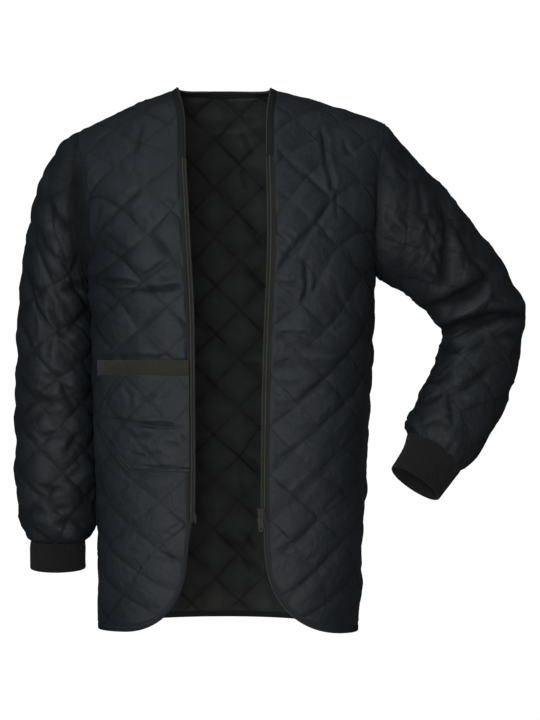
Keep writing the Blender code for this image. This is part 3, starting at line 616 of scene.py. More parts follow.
Quilt = namedtuple("Quilt", "dark light thread roughness specular pinched dulled rub")
PINCH_FROM, PINCH_TO = 0.0004, 0.0032  # from a row of stitches, where its shadow starts and ends
GROOVE_WIDE, GROOVE_DEEP = 0.0016, 0.00022
CRINKLE_DEEP, THREAD_PROUD = 0.0019, 0.00010
MATT_HOLLOWS = 0.34  # how much rougher the deepest crease is


def quilt_finish(name, seed, quilt):
    """Quilted cloth: a fine weave with a little crumple, with painted shade along its rows of
    stitches. pinched is how dark each way's rows are painted as shade, dulled is how much darker
    the cloth is painted down in its creases as shade, and lighter on their ridges, and rub is how
    much paler its puffs are painted as light, and darker near the rows."""
    material, sockets, nodes = new_finish(name, quilt.roughness, quilt.specular)
    add, maths, ramp, tint, noise, weighed = nodes
    body = add("TexCoord").outputs["Object"]
    moved = add("Mapping", {"Vector": body, "Location": (seed, 0.0, 0.0)}).outputs[0]
    clouds, fleck = noise(moved, 7.0, 5.0, 0.6), noise(moved, 420.0, 3.0, 0.7)
    ground = tint(ramp(weighed((clouds, 0.7), (fleck, 0.3)), 0.30, 0.70), quilt.dark, quilt.light)
    stitch, offs = stitch_nodes(nodes)
    hollow, _ = split_map(nodes, "hollows")
    # Painted shade down in the creases, and painted light on their ridges, from the hollows map.
    shaded = ramp(hollow, -1.0, 1.0, 1 + quilt.dulled / 2, 1 - quilt.dulled)
    drawn = noise(moved, 15.0, 3.0, 0.55)  # some lengths of a row get deeper painted shade than others
    # Painted shade along each way's rows of stitches: darkest at a row, and none past PINCH_TO.
    for off, darkest in zip(offs, quilt.pinched):
        row_darkness = ramp(drawn, 0.40, 0.56, darkest, 0.97)
        pressed = ramp(off, PINCH_FROM, PINCH_TO, row_darkness, 1.0, "SMOOTHERSTEP")
        shaded = maths("MULTIPLY", pressed, shaded)
    off = maths("MINIMUM", *offs)
    # Painted light on the puffs: paler away from the rows of stitches, and darker near them.
    rubbed = ramp(off, 0.0, 0.020, 1 - 0.5 * quilt.rub, 1 + 0.5 * quilt.rub)
    # The ground colour multiplied by all the painted shade and painted light above.
    worn = add("Mix", {0: 1.0, 6: ground, 7: maths("MULTIPLY", rubbed, shaded)},
               data_type="RGBA", blend_type="MULTIPLY").outputs[2]
    colour = add("Mix", {0: stitch, 6: worn, 7: (*quilt.thread, 1.0)}, data_type="RGBA").outputs[2]
    crinkle = noise(moved, 48.0, 5.0, 0.58, distortion=1.2)
    groove = ramp(off, 0.0, GROOVE_WIDE, -GROOVE_DEEP, 0.0, "SMOOTHSTEP")
    height = weighed((crinkle, CRINKLE_DEEP), (groove, 1.0), (stitch, THREAD_PROUD),
                     (woven_height(nodes), 1.0))
    rough = ramp(clouds, 0.3, 0.7, quilt.roughness - 0.05, quilt.roughness + 0.06)
    matt = ramp(hollow, 0.0, 1.0, 0.0, MATT_HOLLOWS)
    link_finish(material, sockets, colour, height, maths("ADD", rough, matt))
    return material


navy_shell = quilt_finish("navy nylon shell", 0.0, Quilt(
    dark=(0.0152, 0.0208, 0.0266), light=(0.0256, 0.0332, 0.0404), thread=(0.015, 0.019, 0.023),
    roughness=0.56, specular=0.34, pinched=(0.67, 0.67), dulled=0.30, rub=0.09,
))
# The sleeves' shell is the navy shell painted darker as shade, with more painted shade in its
# creases and more painted light on its puffs.
shaded_sleeve_shell = quilt_finish("navy nylon shell of the sleeves", 6.0, Quilt(
    dark=(0.0132, 0.0174, 0.0219), light=(0.0222, 0.0281, 0.0340), thread=(0.013, 0.016, 0.019),
    roughness=0.56, specular=0.31, pinched=(0.62, 0.62), dulled=0.70, rub=0.16,
))
olive_lining = quilt_finish("olive black lining", 3.0, Quilt(
    dark=(0.0215, 0.0262, 0.0240), light=(0.0364, 0.0436, 0.0400), thread=(0.012, 0.013, 0.012),
    roughness=0.68, specular=0.26, pinched=(0.14, 0.45), dulled=0.60, rub=0.40,
))


DEEP_CREASE = 0.006  # a crease this deep gets the most painted shade and roughness
SEAM_FALL, SEAM_FADE, SEAM_LEAST = 0.0045, 0.020, 0.35  # how near a seam the puffs go down
SEAM_CALM = 0.012  # and how near it the creases end
BOUND_FALL, BOUND_CALM, BOUND_WIDE = 0.007, 0.014, 0.002  # the same at an edge in its binding
GATHER_SIZE, GATHER_REACH, GATHER_TALL = 0.011, 0.010, 0.0008  # small gathers along a seam
GATHER_START = 0.002
PUCKER_TALL = 0.0008

# How a panel's cloth is shaped: its creases' height, the height of its small wrinkles, the share of
# its full puff, how far the shell is held flat, and how hard each way's stitch lines are drawn.
Shape = namedtuple(
    "Shape", "folds wrinkle loft pressed tight", defaults=(0.0019, 1.0, 0.0, (1.0, 1.0))
)


def both_faces(outer, inner=None):
    """Values at the points of a wall's outer face, then at those of its inner face."""
    return np.stack([outer, outer if inner is None else inner])


def quilted_wall(name, form, inward, cut, seam, edge, lines, quilting, shape, seed,
                 closed=False, shell=navy_shell, shade=0.0):
    """A quilted panel's wall. cut is each point's place on the cut, seam and edge are its distances
    to the sewn and to the bound edges, and lines are the two families of stitch lines. shade is how
    much more painted shade the shell gets besides, at a sleeve's armhole and under its arm."""
    u, v = cut
    height, pucker = puffs(*lines, line_spacing(quilting), seed, shape.tight)
    sewn = (1 - np.exp(-seam / SEAM_FALL)) * smoothstep(SEAM_LEAST + seam / SEAM_FADE)
    bound = smoothstep(edge / BOUND_FALL)
    free = 1 - shape.pressed
    height = height * sewn * bound
    gather = wander(u + v, u - v, GATHER_SIZE, seed + 8)
    gather = gather * np.exp(-seam / GATHER_REACH) * (seam / (seam + GATHER_START))
    both = (shape.folds + shape.wrinkle * crumple(u, v, seed + 9)) * smoothstep(seam / SEAM_CALM)
    both = (both + GATHER_TALL * gather) * smoothstep((edge - BOUND_WIDE) / BOUND_CALM) * free
    uneven = PUCKER_TALL * pucker * sewn * bound * free
    out = both + uneven + STITCHED_OUT + SHELL_LOFT * height * shape.loft * free
    back = both - uneven - STITCHED_IN - LINING_LOFT * height
    points = np.stack([form - inward * out[..., None], form - inward * back[..., None]])
    outer, inner, rims = wall_faces(*form.shape[:2], closed=closed)
    slots = np.repeat([0, 1, 0], [len(outer), len(inner), len(rims)])
    # The hollows map carries each crease's depth, which the finish turns into painted shade in
    # creases and painted light on ridges, and on the shell the extra painted shade too.
    hollow = np.clip(-both / DEEP_CREASE, -1.0, 1.0)
    maps = {
        "hollows": (both_faces(np.minimum(hollow + shade, 1.0), -hollow), both_faces(0 * u)),
        "cut": (both_faces(u), both_faces(v)),
        "quilting": tuple(both_faces(line) for line in lines),
    }
    faces = np.concatenate([outer, inner, rims])
    return add_piece(name, points, faces, [shell, olive_lining], slots, maps)


def flat_size(form, u, v):
    """Width, length and area of the cut of a panel, from its form laid flat."""
    corners = (form[:-1, :-1], form[:-1, 1:], form[1:, 1:], form[1:, :-1])
    diagonals = np.cross(corners[2] - corners[0], corners[3] - corners[1])
    area = float(np.linalg.norm(diagonals, axis=-1).sum() / 2)
    return float(np.ptp(u)), float(np.ptp(v)), area


def up_the_cut(form, up, underarm):
    """Each point's place up its cut: its height up to the underarm, and its run from there on."""
    place = form[..., 2].copy()
    place[underarm:] = place[underarm] + up[underarm:] - up[underarm]
    return place


def side_inward(side, underarm, arm_turn):
    """The way into the cloth at each row of a side seam, then of the armhole at these turns."""
    below = np.tile((-float(side), 0.0, 0.0), (underarm + 1, 1))
    return np.concatenate([below, armhole(side, arm_turn)[1]])[:, None]


def front_form(side, fineness):
    """A front's outer face, hem row first and free edge first, with its cut and edge distances."""
    dense = np.linspace(0.0, 1.0, 600)
    part = even(dense, front_body(side, dense, EVEN_Z), fineness)
    skirt = np.linspace(1.0, 0.0, int((ZIP_BOTTOM_Z - HEM_SIDE_Z[side]) / fineness))[:-1]
    heights = np.linspace(ZIP_BOTTOM_Z, UNDERARM_Z, int((UNDERARM_Z - ZIP_BOTTOM_Z) / fineness))
    arm_rows = even(dense, armhole(side, dense / 2)[0], fineness)[1:]
    rows = [front_body(side, part, None, share) for share in skirt]
    rows += [front_body(side, part, z) for z in heights]
    rows += [front_chest(side, part, row) for row in arm_rows]
    form = soften(np.array(rows), passes=60)
    underarm = len(skirt) + len(heights) - 1
    across, up = run_along(form, 1), run_along(form, 0)
    u, v = np.abs(form[:, :1, 0]) + across, up_the_cut(form, up, underarm)
    to_side = across[:, -1:] - across
    to_top = up[-1:] - up
    shared = side_inward(side, underarm, arm_rows / 2)
    inward = turn_towards(facing_in(form, -side), shared, to_side)
    inward = turn_towards(inward, shoulder_inward(side), to_top)
    edge = np.minimum(across, up)
    return form, inward, u, v, np.minimum(to_side, to_top), edge


def shoulder_line(side, part):
    """The shoulder seam from the neck point (part 0) to the armhole (part 1)."""
    tip = armhole(side, 0.5)[0][0]
    neck_x = front_edge(side, NECK_SIDE_Z)
    z = NECK_SIDE_Z + (tip[2] - NECK_SIDE_Z) * part**SHOULDER_POWER
    return np.stack([neck_x + (tip[0] - neck_x) * part, 0.0 * part, z], axis=-1)


def shoulder_inward(side):
    """The way into the cloth at the shoulder seam, square to the seam."""
    start, end = shoulder_line(side, np.array([0.0, 1.0]))
    seam = unit(end - start)
    return np.array([side * seam[2], 0.0, -side * seam[0]])


def drawn_across(form):
    """The place across a front by which its stitch lines run straight as seen from the front. On
    its side, which faces away, the diamonds are eased wider instead."""
    step = np.diff(form, axis=1)
    run = np.linalg.norm(step, axis=-1)
    step = np.maximum(np.abs(step[..., 0]), SIDE_EASE * run)
    start = np.abs(form[:, :1, 0])
    return start + np.concatenate([np.zeros_like(start), np.cumsum(step, axis=1)], axis=1)


def cut_place(form, u, v, x, z):
    """Where the cut's point lies that is nearest to (x, z) as seen from the front."""
    nearest = np.argmin((form[..., 0] - x) ** 2 + (form[..., 2] - z) ** 2)
    return np.ravel(u)[nearest], np.ravel(v)[nearest]


# The patch pocket's edges on the wearer's right front, which hold the shell flat beneath it.
POCKET_TOP_Z = -0.420
POCKET_SLANT_Z = -0.525
POCKET_BOTTOM_Z = -0.588
POCKET_SIDE_X = -0.189
POCKET_BOTTOM_X = -0.146
POCKET_PRESS_FADE = 0.008


def down_the_slant(z):
    """How far a height is down the pocket's slanted corner, from 0 at its start to 1."""
    return np.clip((POCKET_SLANT_Z - z) / (POCKET_SLANT_Z - POCKET_BOTTOM_Z), 0.0, 1.0)


def under_pocket(form):
    """How far the pocket holds the front flat: 1 well under it, and 0 outside it."""
    x, z = form[..., 0], form[..., 2]
    inside = x - POCKET_SIDE_X - (POCKET_BOTTOM_X - POCKET_SIDE_X) * down_the_slant(z)
    inside = np.minimum(np.minimum(inside, z - POCKET_BOTTOM_Z), POCKET_TOP_Z - z)
    return smoothstep(0.4 + inside / POCKET_PRESS_FADE) * (form[..., 1] < 0)


# A crossing of the stitch lines on each front, at x and z, and the width and height of a diamond.
FRONT_QUILTING = {RIGHT: (-0.129, -0.376, 0.082, 0.0727), LEFT: (0.142, -0.589, 0.0737, 0.0735)}

# Where the worn cloth draws the crossings near them to, as x and z.
FRONT_PULLED = {
    RIGHT: (
        (-0.158, -0.190), (-0.158, -0.264), (-0.114, -0.231), (-0.079, -0.267), (-0.128, -0.304),
        (-0.159, -0.330), (-0.129, -0.376), (-0.090, -0.339), (-0.090, -0.410), (-0.165, -0.407),
        (-0.101, -0.633), (-0.144, -0.672), (-0.105, -0.703), (-0.057, -0.667), (-0.138, -0.607),
        (-0.069, -0.115),
    ),
    LEFT: (
        (0.119, -0.143), (0.161, -0.175), (0.140, -0.214), (0.100, -0.179), (0.106, -0.258),
        (0.169, -0.246), (0.143, -0.297), (0.115, -0.334), (0.157, -0.372), (0.154, -0.450),
        (0.112, -0.487), (0.184, -0.488), (0.146, -0.521), (0.103, -0.559), (0.142, -0.589),
        (0.182, -0.551), (0.106, -0.628), (0.142, -0.658), (0.188, -0.626), (0.179, -0.695),
        (0.103, -0.697), (0.136, -0.737), (0.103, -0.770), (0.148, -0.792),
    ),
}

LINE_TIGHTNESS = {RIGHT: (0.70, 1.0), LEFT: (0.50, 1.0)}  # of the rising and the falling lines

# Creases of the fronts in millimetres: depth, width, then x and z of the points of each.
FRONT_CREASES = {
    RIGHT: (
        (4.2, 3.2, (-193, -299), (-160, -302), (-130, -306)),
        (4.6, 3.4, (-160, -315), (-110, -315), (-54, -310)),
        (1.8, 2.6, (-97, -300), (-82, -299), (-70, -291)),
        (3, 4, (-197, -416), (-150, -418), (-90, -415)),
        (2.6, 4.5, (-150, -179), (-140, -172), (-129, -166)),
        (2.4, 5, (-128, -62), (-136, -84), (-140, -108)),
        (1.8, 4, (-146, -127), (-128, -144)),
        (2.2, 3.4, (-93, -176), (-80, -180), (-66, -179)),
        (1.6, 3, (-113, -194), (-105, -208)),
        (1.8, 3.6, (-105, -240), (-85, -262)),
        (2.2, 4, (-88, -272), (-108, -284), (-128, -300)),
        (2, 4, (-90, -337), (-131, -375)),
        (2.8, 5, (-191, -187), (-199, -222), (-161, -191)),
        (2, 6, (-150, -255), (-176, -235), (-192, -240)),
        (1.6, 3.6, (-186, -335), (-168, -352), (-150, -345)),
        (1.6, 3, (-150, -709), (-128, -711)),
        (2, 3.2, (-113, -721), (-98, -719), (-82, -722)),
        (1.6, 3, (-92, -683), (-67, -667)),
        (1.8, 3.2, (-90, -709), (-75, -725)),
        (1.6, 4, (-158, -781), (-135, -805)),
        (1.4, 4, (-188, -700), (-160, -690), (-140, -672)),
        (1.6, 2.8, (-82, -741), (-70, -739)),
        (2.6, 5, (-150, -592), (-110, -596), (-70, -593)),
        (-7, 12, (-205, -282), (-207, -302), (-206, -330)),
    ),
    LEFT: (
        (3.6, 3.6, (146, -66), (151, -89), (155, -127), (163, -160), (170, -163)),
        (2.2, 3.2, (180, -88), (186, -100), (193, -107)),
        (2.4, 4.4, (85, -107), (113, -131), (158, -172)),
        (3, 4, (158, -184), (140, -212), (113, -240), (85, -278)),
        (2.2, 4.4, (173, -220), (192, -217), (211, -222)),
        (1.8, 3.4, (140, -225), (152, -231), (166, -241)),
        (3.2, 3.4, (121, -271), (124, -300), (123, -318), (116, -335)),
        (2.4, 3.4, (141, -303), (125, -328)),
        (2.4, 3.4, (71, -302), (90, -306), (113, -304)),
        (3, 5.2, (75, -428), (120, -424), (150, -427), (183, -425)),
        (2.2, 3.2, (80, -453), (97, -456), (113, -453)),
        (1.8, 3.4, (80, -484), (100, -486), (118, -482)),
        (1.8, 3.6, (113, -522), (143, -521)),
        (2.4, 4.4, (114, -476), (134, -464), (153, -449)),
        (2.4, 5, (126, -542), (152, -516), (183, -487)),
        (2.4, 4.4, (68, -586), (90, -566), (113, -547)),
        (2.6, 5.2, (91, -647), (136, -604), (183, -561)),
        (2.6, 5, (143, -654), (170, -628), (198, -600)),
        (2.4, 4.8, (83, -714), (112, -686), (143, -660)),
        (2.8, 5, (94, -782), (136, -742), (183, -697)),
        (1.6, 3.6, (151, -790), (174, -768)),
        (1.4, 2.4, (75, -172), (98, -172)),
        (1.8, 2.6, (78, -225), (92, -227), (103, -235)),
        (1.8, 2.6, (75, -254), (99, -259)),
        (1.6, 2.6, (71, -341), (91, -344)),
        (2.6, 4, (75, -385), (100, -381), (128, -384)),
        (1.8, 3, (169, -170), (169, -204)),
        (2, 3.4, (163, -376), (182, -362)),
        (2.2, 6, (115, -392), (150, -398), (183, -407)),
        (1.6, 3, (76, -606), (98, -609)),
        (1.8, 4, (165, -300), (175, -330), (190, -350)),
        (2, 5, (185, -255), (200, -275), (222, -285)),
    ),
}

SKIRT_CALM = {RIGHT: 0.46, LEFT: 0.44}  # how much smoother each front hangs below the waist
WAIST_Z, WAIST_FADE = -0.43, 0.10
YOKE_CALM = 0.45  # how much flatter the yoke lies on the chest
YOKE_Z, YOKE_FADE = -0.23, 0.15
FOLDS_FROM, FOLDS_FADE = 0.01, 0.04  # so far forward of the side seam the creases come in
SIDE_CALM, SIDE_FADE = 0.15, 0.09  # how much flatter the puffs are at the side

fronts = {}
for side in (RIGHT, LEFT):
    form, inward, u, v, seam, edge = front_form(side, FRONT_FINENESS)
    x, z, wide, tall = FRONT_QUILTING[side]
    drawn = drawn_across(form)
    quilting = Quilting(*cut_place(form, drawn, v, x, z), wide, tall)
    pulled = [cut_place(form, drawn, v, *place) for place in FRONT_PULLED[side]]
    lines = quilt_lines(drawn, v, quilting, 10 + side, pulled)
    height, forward = form[..., 2], -form[..., 1]
    folds = creases(form, FRONT_CREASES[side])
    folds = folds * smoothstep((forward - FOLDS_FROM) / FOLDS_FADE)
    calm = 1 - SKIRT_CALM[side] * smoothstep((WAIST_Z - height) / WAIST_FADE)
    flatter = 1 - YOKE_CALM * smoothstep((height - YOKE_Z) / YOKE_FADE)
    flatter = flatter * (1 - SIDE_CALM * (1 - smoothstep(forward / SIDE_FADE)))
    under = under_pocket(form) if side == RIGHT else 0.0
    name = "front_" + SIDE_NAME[side]
    shape = Shape(folds * calm, loft=flatter * calm, pressed=under, tight=LINE_TIGHTNESS[side])
    piece = quilted_wall("quilted_" + name, form, inward, (u, v), seam, edge, lines, quilting,
                         shape, 10 + side)
    width, length, area = flat_size(form, u, v)
    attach(piece, "jacket")
    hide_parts(name)
    fronts[side] = (form, inward)


# ---- The back
# One wide cut of the same quilt, from side seam to side seam and up to the shoulder seams. Its
# lining shows through the open fronts, and its neckline is a little hollowed.

NECK_BACK_Y = 0.070
NECK_BACK_Z = -0.004
HEM_BACK_Z = -0.8230
BACK_STRAIGHT_Z = -0.745  # above this the rows of the back lie level
NECK_SHARE = 0.30  # share of the back's half width that the neckline takes
NECK_ROUND = 0.9  # below 1 makes the neckline's hollow fuller
BLADES_LATE, BLADES_FULL = 1.6, 0.8  # how late, and how fully, the back bends in to the neckline
TOP_BLEND = 6  # a high power, so that only the last rows below the seams take their line
BACK_FOLDS_FADE = 0.04  # so far back of the side seam the creases are in full
BACK_FINENESS = 0.0034
BACK_QUILTING = Quilting(0.020, -0.496, 0.077, 0.078)

# Where the worn lining draws the crossings near them to, as x and z.
BACK_PULLED = (
    (0.020, -0.498), (-0.023, -0.461), (-0.021, -0.539), (0.020, -0.574), (-0.021, -0.612),
    (0.020, -0.646), (0.049, -0.674), (-0.021, -0.690), (0.020, -0.727), (-0.019, -0.766),
    (0.020, -0.801), (0.049, -0.525), (0.014, -0.184),
)

# Creases that show on the back's shell, in millimetres.
BACK_CREASES = (
    (3, 5, (-150, -150), (-120, -175), (-80, -185)),
    (2.6, 6, (-175, -210), (-140, -235), (-95, -240)),
    (2.6, 5, (170, -170), (130, -200), (90, -205)),
    (2.2, 6, (185, -240), (150, -262), (110, -262)),
    (2.4, 5, (-60, -50), (-30, -62), (20, -60), (60, -48)),
    (2.8, 5, (-180, -420), (-120, -432), (-50, -424)),
    (3, 5, (180, -405), (110, -425), (30, -418)),
    (2.2, 4.5, (-140, -465), (-80, -476), (-20, -470)),
    (2.2, 4.5, (150, -470), (90, -486), (50, -482)),
    (2, 5, (20, -560), (60, -590), (120, -600)),
    (2, 5, (-40, -610), (-100, -640), (-150, -632)),
    (2.4, 6, (160, -660), (110, -700), (60, -712)),
    (2.2, 6, (-170, -720), (-120, -752), (-70, -760)),
    (2, 4.5, (-20, -700), (20, -735), (40, -770)),
    (1.8, 4, (-90, -300), (-40, -330), (0, -322)),
    (1.8, 4, (60, -300), (110, -325), (150, -318)),
)

# Creases that show on the back's lining, between the open fronts, in millimetres.
LINING_CREASES = (
    (-2.8, 3.4, (23, -59), (31, -78), (38, -99)),
    (-2.2, 3, (23, -119), (26, -134), (31, -150)),
    (-3, 3.6, (30, -202), (41, -222), (57, -242)),
    (-2.6, 3.4, (23, -273), (41, -287), (57, -308)),
    (-2, 2.8, (-15, -315), (-4, -331)),
    (-2.2, 3.2, (-38, -366), (-30, -378), (-24, -391)),
    (-2.6, 4, (23, -576), (21, -606), (24, -636)),
    (-2, 3.2, (-38, -445), (-20, -462), (-16, -480)),
    (-2, 3.6, (10, -690), (30, -702), (44, -722)),
)


def back_body(part, z=None, up=0.0):
    """A row of the back below the underarm: at a height, or some of the way up from the hem."""
    across, depth = plan_section(np.abs(part))
    if z is None:
        side_z = np.where(part < 0, HEM_SIDE_Z[RIGHT], HEM_SIDE_Z[LEFT])
        z = side_z + (HEM_BACK_Z - side_z) * (1 - across**2)
        z = z + (BACK_STRAIGHT_Z - z) * up
    z = z + 0.0 * part
    side_x = np.where(part < 0, body_side(RIGHT, z), body_side(LEFT, z))
    return np.stack([side_x * across, body_depth("back", z) * depth, z], axis=-1)


def back_top(part):
    """The top edge of the back: its neckline, and the shoulder seams beyond the neck points."""
    turned = np.maximum(np.cos(np.pi / 2 * np.minimum(np.abs(part) / NECK_SHARE, 1.0)), 0.0)
    neck_x = np.where(part < 0, front_edge(RIGHT, NECK_SIDE_Z), front_edge(LEFT, NECK_SIDE_Z))
    neck_z = NECK_SIDE_Z + (NECK_BACK_Z - NECK_SIDE_Z) * turned
    neck_y = NECK_BACK_Y * turned**NECK_ROUND
    neck = np.stack([neck_x * np.sqrt(1 - turned**2), neck_y, neck_z], axis=-1)
    out = np.clip((np.abs(part) - NECK_SHARE) / (1 - NECK_SHARE), 0.0, 1.0)
    seams = np.where(part[:, None] < 0, shoulder_line(RIGHT, out), shoulder_line(LEFT, out))
    return np.where(np.abs(part)[:, None] <= NECK_SHARE, neck, seams)


def back_chest(part, row):
    """A row of the back from the underarm to the neckline and shoulder seams."""
    on_right = part[:, None] < 0
    arm = np.where(on_right, *(armhole(side, 1 - row / 2)[0][0] for side in (RIGHT, LEFT)))
    tip = np.where(on_right, *(armhole(side, 0.5)[0][0] for side in (RIGHT, LEFT)))
    across, depth = plan_section(np.abs(part), armhole_turn(row))
    top_across, top_depth = plan_section(np.abs(part), armhole_turn(1.0))
    up = rise(row)
    bent = (1 - up**BLADES_LATE) ** BLADES_FULL
    middle_y = NECK_BACK_Y + (body_depth("back", UNDERARM_Z) - NECK_BACK_Y) * bent
    middle_z = UNDERARM_Z + (NECK_BACK_Z - UNDERARM_Z) * up
    plain = np.stack([
        arm[:, 0] * across,
        arm[:, 1] + (middle_y - arm[:, 1]) * depth,
        middle_z + (arm[:, 2] - middle_z) * across,
    ], axis=-1)
    plain_top = np.stack([
        tip[:, 0] * top_across,
        NECK_BACK_Y * top_depth,
        NECK_BACK_Z + (tip[:, 2] - NECK_BACK_Z) * top_across,
    ], axis=-1)
    return plain + (back_top(part) - plain_top) * row**TOP_BLEND


def back_form(fineness):
    """The back's outer face, hem first and wearer's right first, with its cut and distances."""
    near_neck = np.linspace(0.0, NECK_SHARE, 300)
    beyond = np.linspace(NECK_SHARE, 1.0, 600)
    half = np.concatenate([
        even(near_neck, back_body(near_neck, EVEN_Z), fineness),
        even(beyond, back_body(beyond, EVEN_Z), fineness)[1:],
    ])
    part = np.concatenate([-half[:0:-1], half])
    middle = len(half) - 1
    skirt = np.linspace(0.0, 1.0, int((BACK_STRAIGHT_Z - HEM_BACK_Z) / fineness))[:-1]
    count = int((UNDERARM_Z - BACK_STRAIGHT_Z) / fineness)
    heights = np.linspace(BACK_STRAIGHT_Z, UNDERARM_Z, count)
    dense = np.linspace(0.0, 1.0, 600)
    arm_rows = even(dense, armhole(LEFT, 1 - dense / 2)[0], fineness)[1:]
    rows = [back_body(part, None, share) for share in skirt]
    rows += [back_body(part, z) for z in heights]
    rows += [back_chest(part, row) for row in arm_rows]
    form = soften(np.array(rows), passes=50)
    underarm = len(skirt) + len(heights) - 1
    across, up = run_along(form, 1), run_along(form, 0)
    u, v = across - across[:, middle:middle + 1], up_the_cut(form, up, underarm)
    to_top = up[-1:] - up
    shoulder = np.abs(part) >= NECK_SHARE
    inward = facing_in(form, 1)
    for side, to_side in ((RIGHT, across), (LEFT, across[:, -1:] - across)):
        inward = turn_towards(inward, side_inward(side, underarm, 1 - arm_rows / 2), to_side)
    mixed = smoothstep(np.abs(part) / NECK_SHARE)[:, None]
    seam_in = np.where(part[:, None] < 0, shoulder_inward(RIGHT), shoulder_inward(LEFT))
    top_in = unit(inward[-1, middle] * (1 - mixed) + seam_in * mixed)
    inward = turn_towards(inward, top_in[None], to_top)
    to_side = np.minimum(across, across[:, -1:] - across)
    seam = np.minimum(to_side, np.where(shoulder, to_top, np.inf))
    edge = np.minimum(up, np.where(shoulder, np.inf, to_top))
    return form, inward, u, v, seam, edge, part


form, inward, u, v, seam, edge, part = back_form(BACK_FINENESS)
folds = creases(form, BACK_CREASES) + creases(form, LINING_CREASES)
pulled = [cut_place(form, u, v, *place) for place in BACK_PULLED]
lines = quilt_lines(u, v, BACK_QUILTING, 30, pulled)
folds = folds * smoothstep(form[..., 1] / BACK_FOLDS_FADE)
shape = Shape(folds, wrinkle=0.0029, tight=(1.0, 0.55))
piece = quilted_wall("quilted_back", form, inward, (u, v), seam, edge, lines, BACK_QUILTING,
                     shape, 30)
width, length, area = flat_size(form, u, v)
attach(piece, "jacket")
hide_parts("back")
back, back_part = (form, inward), part


# ---- The sleeves
# Each sleeve is one cut of quilt, closed under the arm and set into the armhole. The right one
# hangs straight, and the left one bends at the elbow, where its cloth crushes into deep folds.

# Rings down each sleeve after its armhole, then down its cuff.
SLEEVE = {
    RIGHT: (
        Ring(-0.2565, -0.0860, -0.2112, -0.2910, 0.006, 0.074),
        Ring(-0.2770, -0.1240, -0.2116, -0.2960, 0.012, 0.075),
        Ring(-0.2935, -0.1605, -0.2114, -0.3040, 0.018, 0.075),
        Ring(-0.3045, -0.2025, -0.2105, -0.3180, 0.025, 0.074),
        Ring(-0.3140, -0.2490, -0.2085, -0.3380, 0.031, 0.073),
        Ring(-0.3215, -0.2955, -0.2065, -0.3640, 0.037, 0.071),
        Ring(-0.3255, -0.3500, -0.2045, -0.3960, 0.041, 0.069),
        Ring(-0.3280, -0.4120, -0.2035, -0.4400, 0.044, 0.067),
        Ring(-0.3295, -0.4820, -0.2030, -0.4900, 0.046, 0.064),
        Ring(-0.3290, -0.5450, -0.2025, -0.5500, 0.047, 0.061),
        Ring(-0.3290, -0.6160, -0.2025, -0.6160, 0.047, 0.058),
        Ring(-0.3240, -0.6610, -0.2030, -0.6600, 0.047, 0.055),
        Ring(-0.3180, -0.6800, -0.2055, -0.6790, 0.047, 0.051),
        Ring(-0.3130, -0.6930, -0.2100, -0.6920, 0.047, 0.047),
        Ring(-0.3075, -0.7020, -0.2200, -0.7020, 0.048, 0.040),
    ),
    LEFT: (
        Ring(0.2720, -0.0845, 0.2365, -0.2940, 0.003, 0.075),
        Ring(0.3115, -0.1250, 0.2500, -0.3010, 0.010, 0.075),
        Ring(0.3515, -0.1680, 0.2705, -0.3145, 0.020, 0.071),
        Ring(0.3910, -0.2140, 0.2970, -0.3330, 0.032, 0.066),
        Ring(0.4305, -0.2670, 0.3180, -0.3510, 0.042, 0.062),
        Ring(0.4570, -0.3130, 0.3300, -0.3670, 0.048, 0.060),
        Ring(0.4675, -0.3445, 0.3355, -0.3855, 0.050, 0.058),
        Ring(0.4625, -0.3905, 0.3305, -0.4105, 0.044, 0.056),
        Ring(0.4530, -0.4370, 0.3155, -0.4435, 0.030, 0.054),
        Ring(0.4380, -0.4820, 0.2990, -0.4735, 0.012, 0.052),
        Ring(0.4225, -0.5130, 0.2850, -0.5005, -0.004, 0.050),
        Ring(0.4045, -0.5435, 0.2785, -0.5095, -0.018, 0.047),
        Ring(0.3920, -0.5640, 0.2762, -0.5155, -0.027, 0.044),
        Ring(0.3790, -0.5785, 0.2756, -0.5225, -0.033, 0.041),
        Ring(0.3620, -0.5910, 0.2790, -0.5325, -0.037, 0.037),
    ),
}
CUFF = {
    RIGHT: (
        Ring(-0.3072, -0.7160, -0.2212, -0.7160, 0.0495, 0.039),
        Ring(-0.3072, -0.7300, -0.2214, -0.7300, 0.0510, 0.038),
        Ring(-0.3072, -0.7440, -0.2212, -0.7440, 0.0530, 0.038),
    ),
    LEFT: (
        Ring(0.3509, -0.6030, 0.2741, -0.5522, -0.0430, 0.036),
        Ring(0.3390, -0.6180, 0.2647, -0.5682, -0.0495, 0.035),
        Ring(0.3272, -0.6325, 0.2559, -0.5834, -0.0560, 0.035),
    ),
}
WRIST = 15  # the ring where the sleeve ends and its cuff begins
CAP = 5  # above this ring the cloth's length is measured along each of its lines
GIRTH_RING = 3.0  # the ring round which the points are evenly apart
SLEEVE_FINENESS = 0.0030
SLEEVE_SOLIDS = {
    RIGHT: ["sleeve_right"],
    LEFT: [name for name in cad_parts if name.startswith("sleeve_left")],
}
SLEEVE_QUILTING = {RIGHT: (-0.262, -0.378, 0.080, 0.074), LEFT: (0.312, -0.240, 0.080, 0.074)}
SLEEVE_LOFT = {RIGHT: 0.90, LEFT: 0.40}
ARMHOLE_PAINTED_SHADE = {RIGHT: (1.1, 0.021), LEFT: (0.5, 0.014)}  # painted shade: how much at the armhole, and how far
# How much painted shade goes under each arm.
UNDERARM_PAINTED_SHADE = {RIGHT: 0.0, LEFT: 0.55}
SLEEVE_WRINKLE = {RIGHT: 0.0032, LEFT: 0.0038}

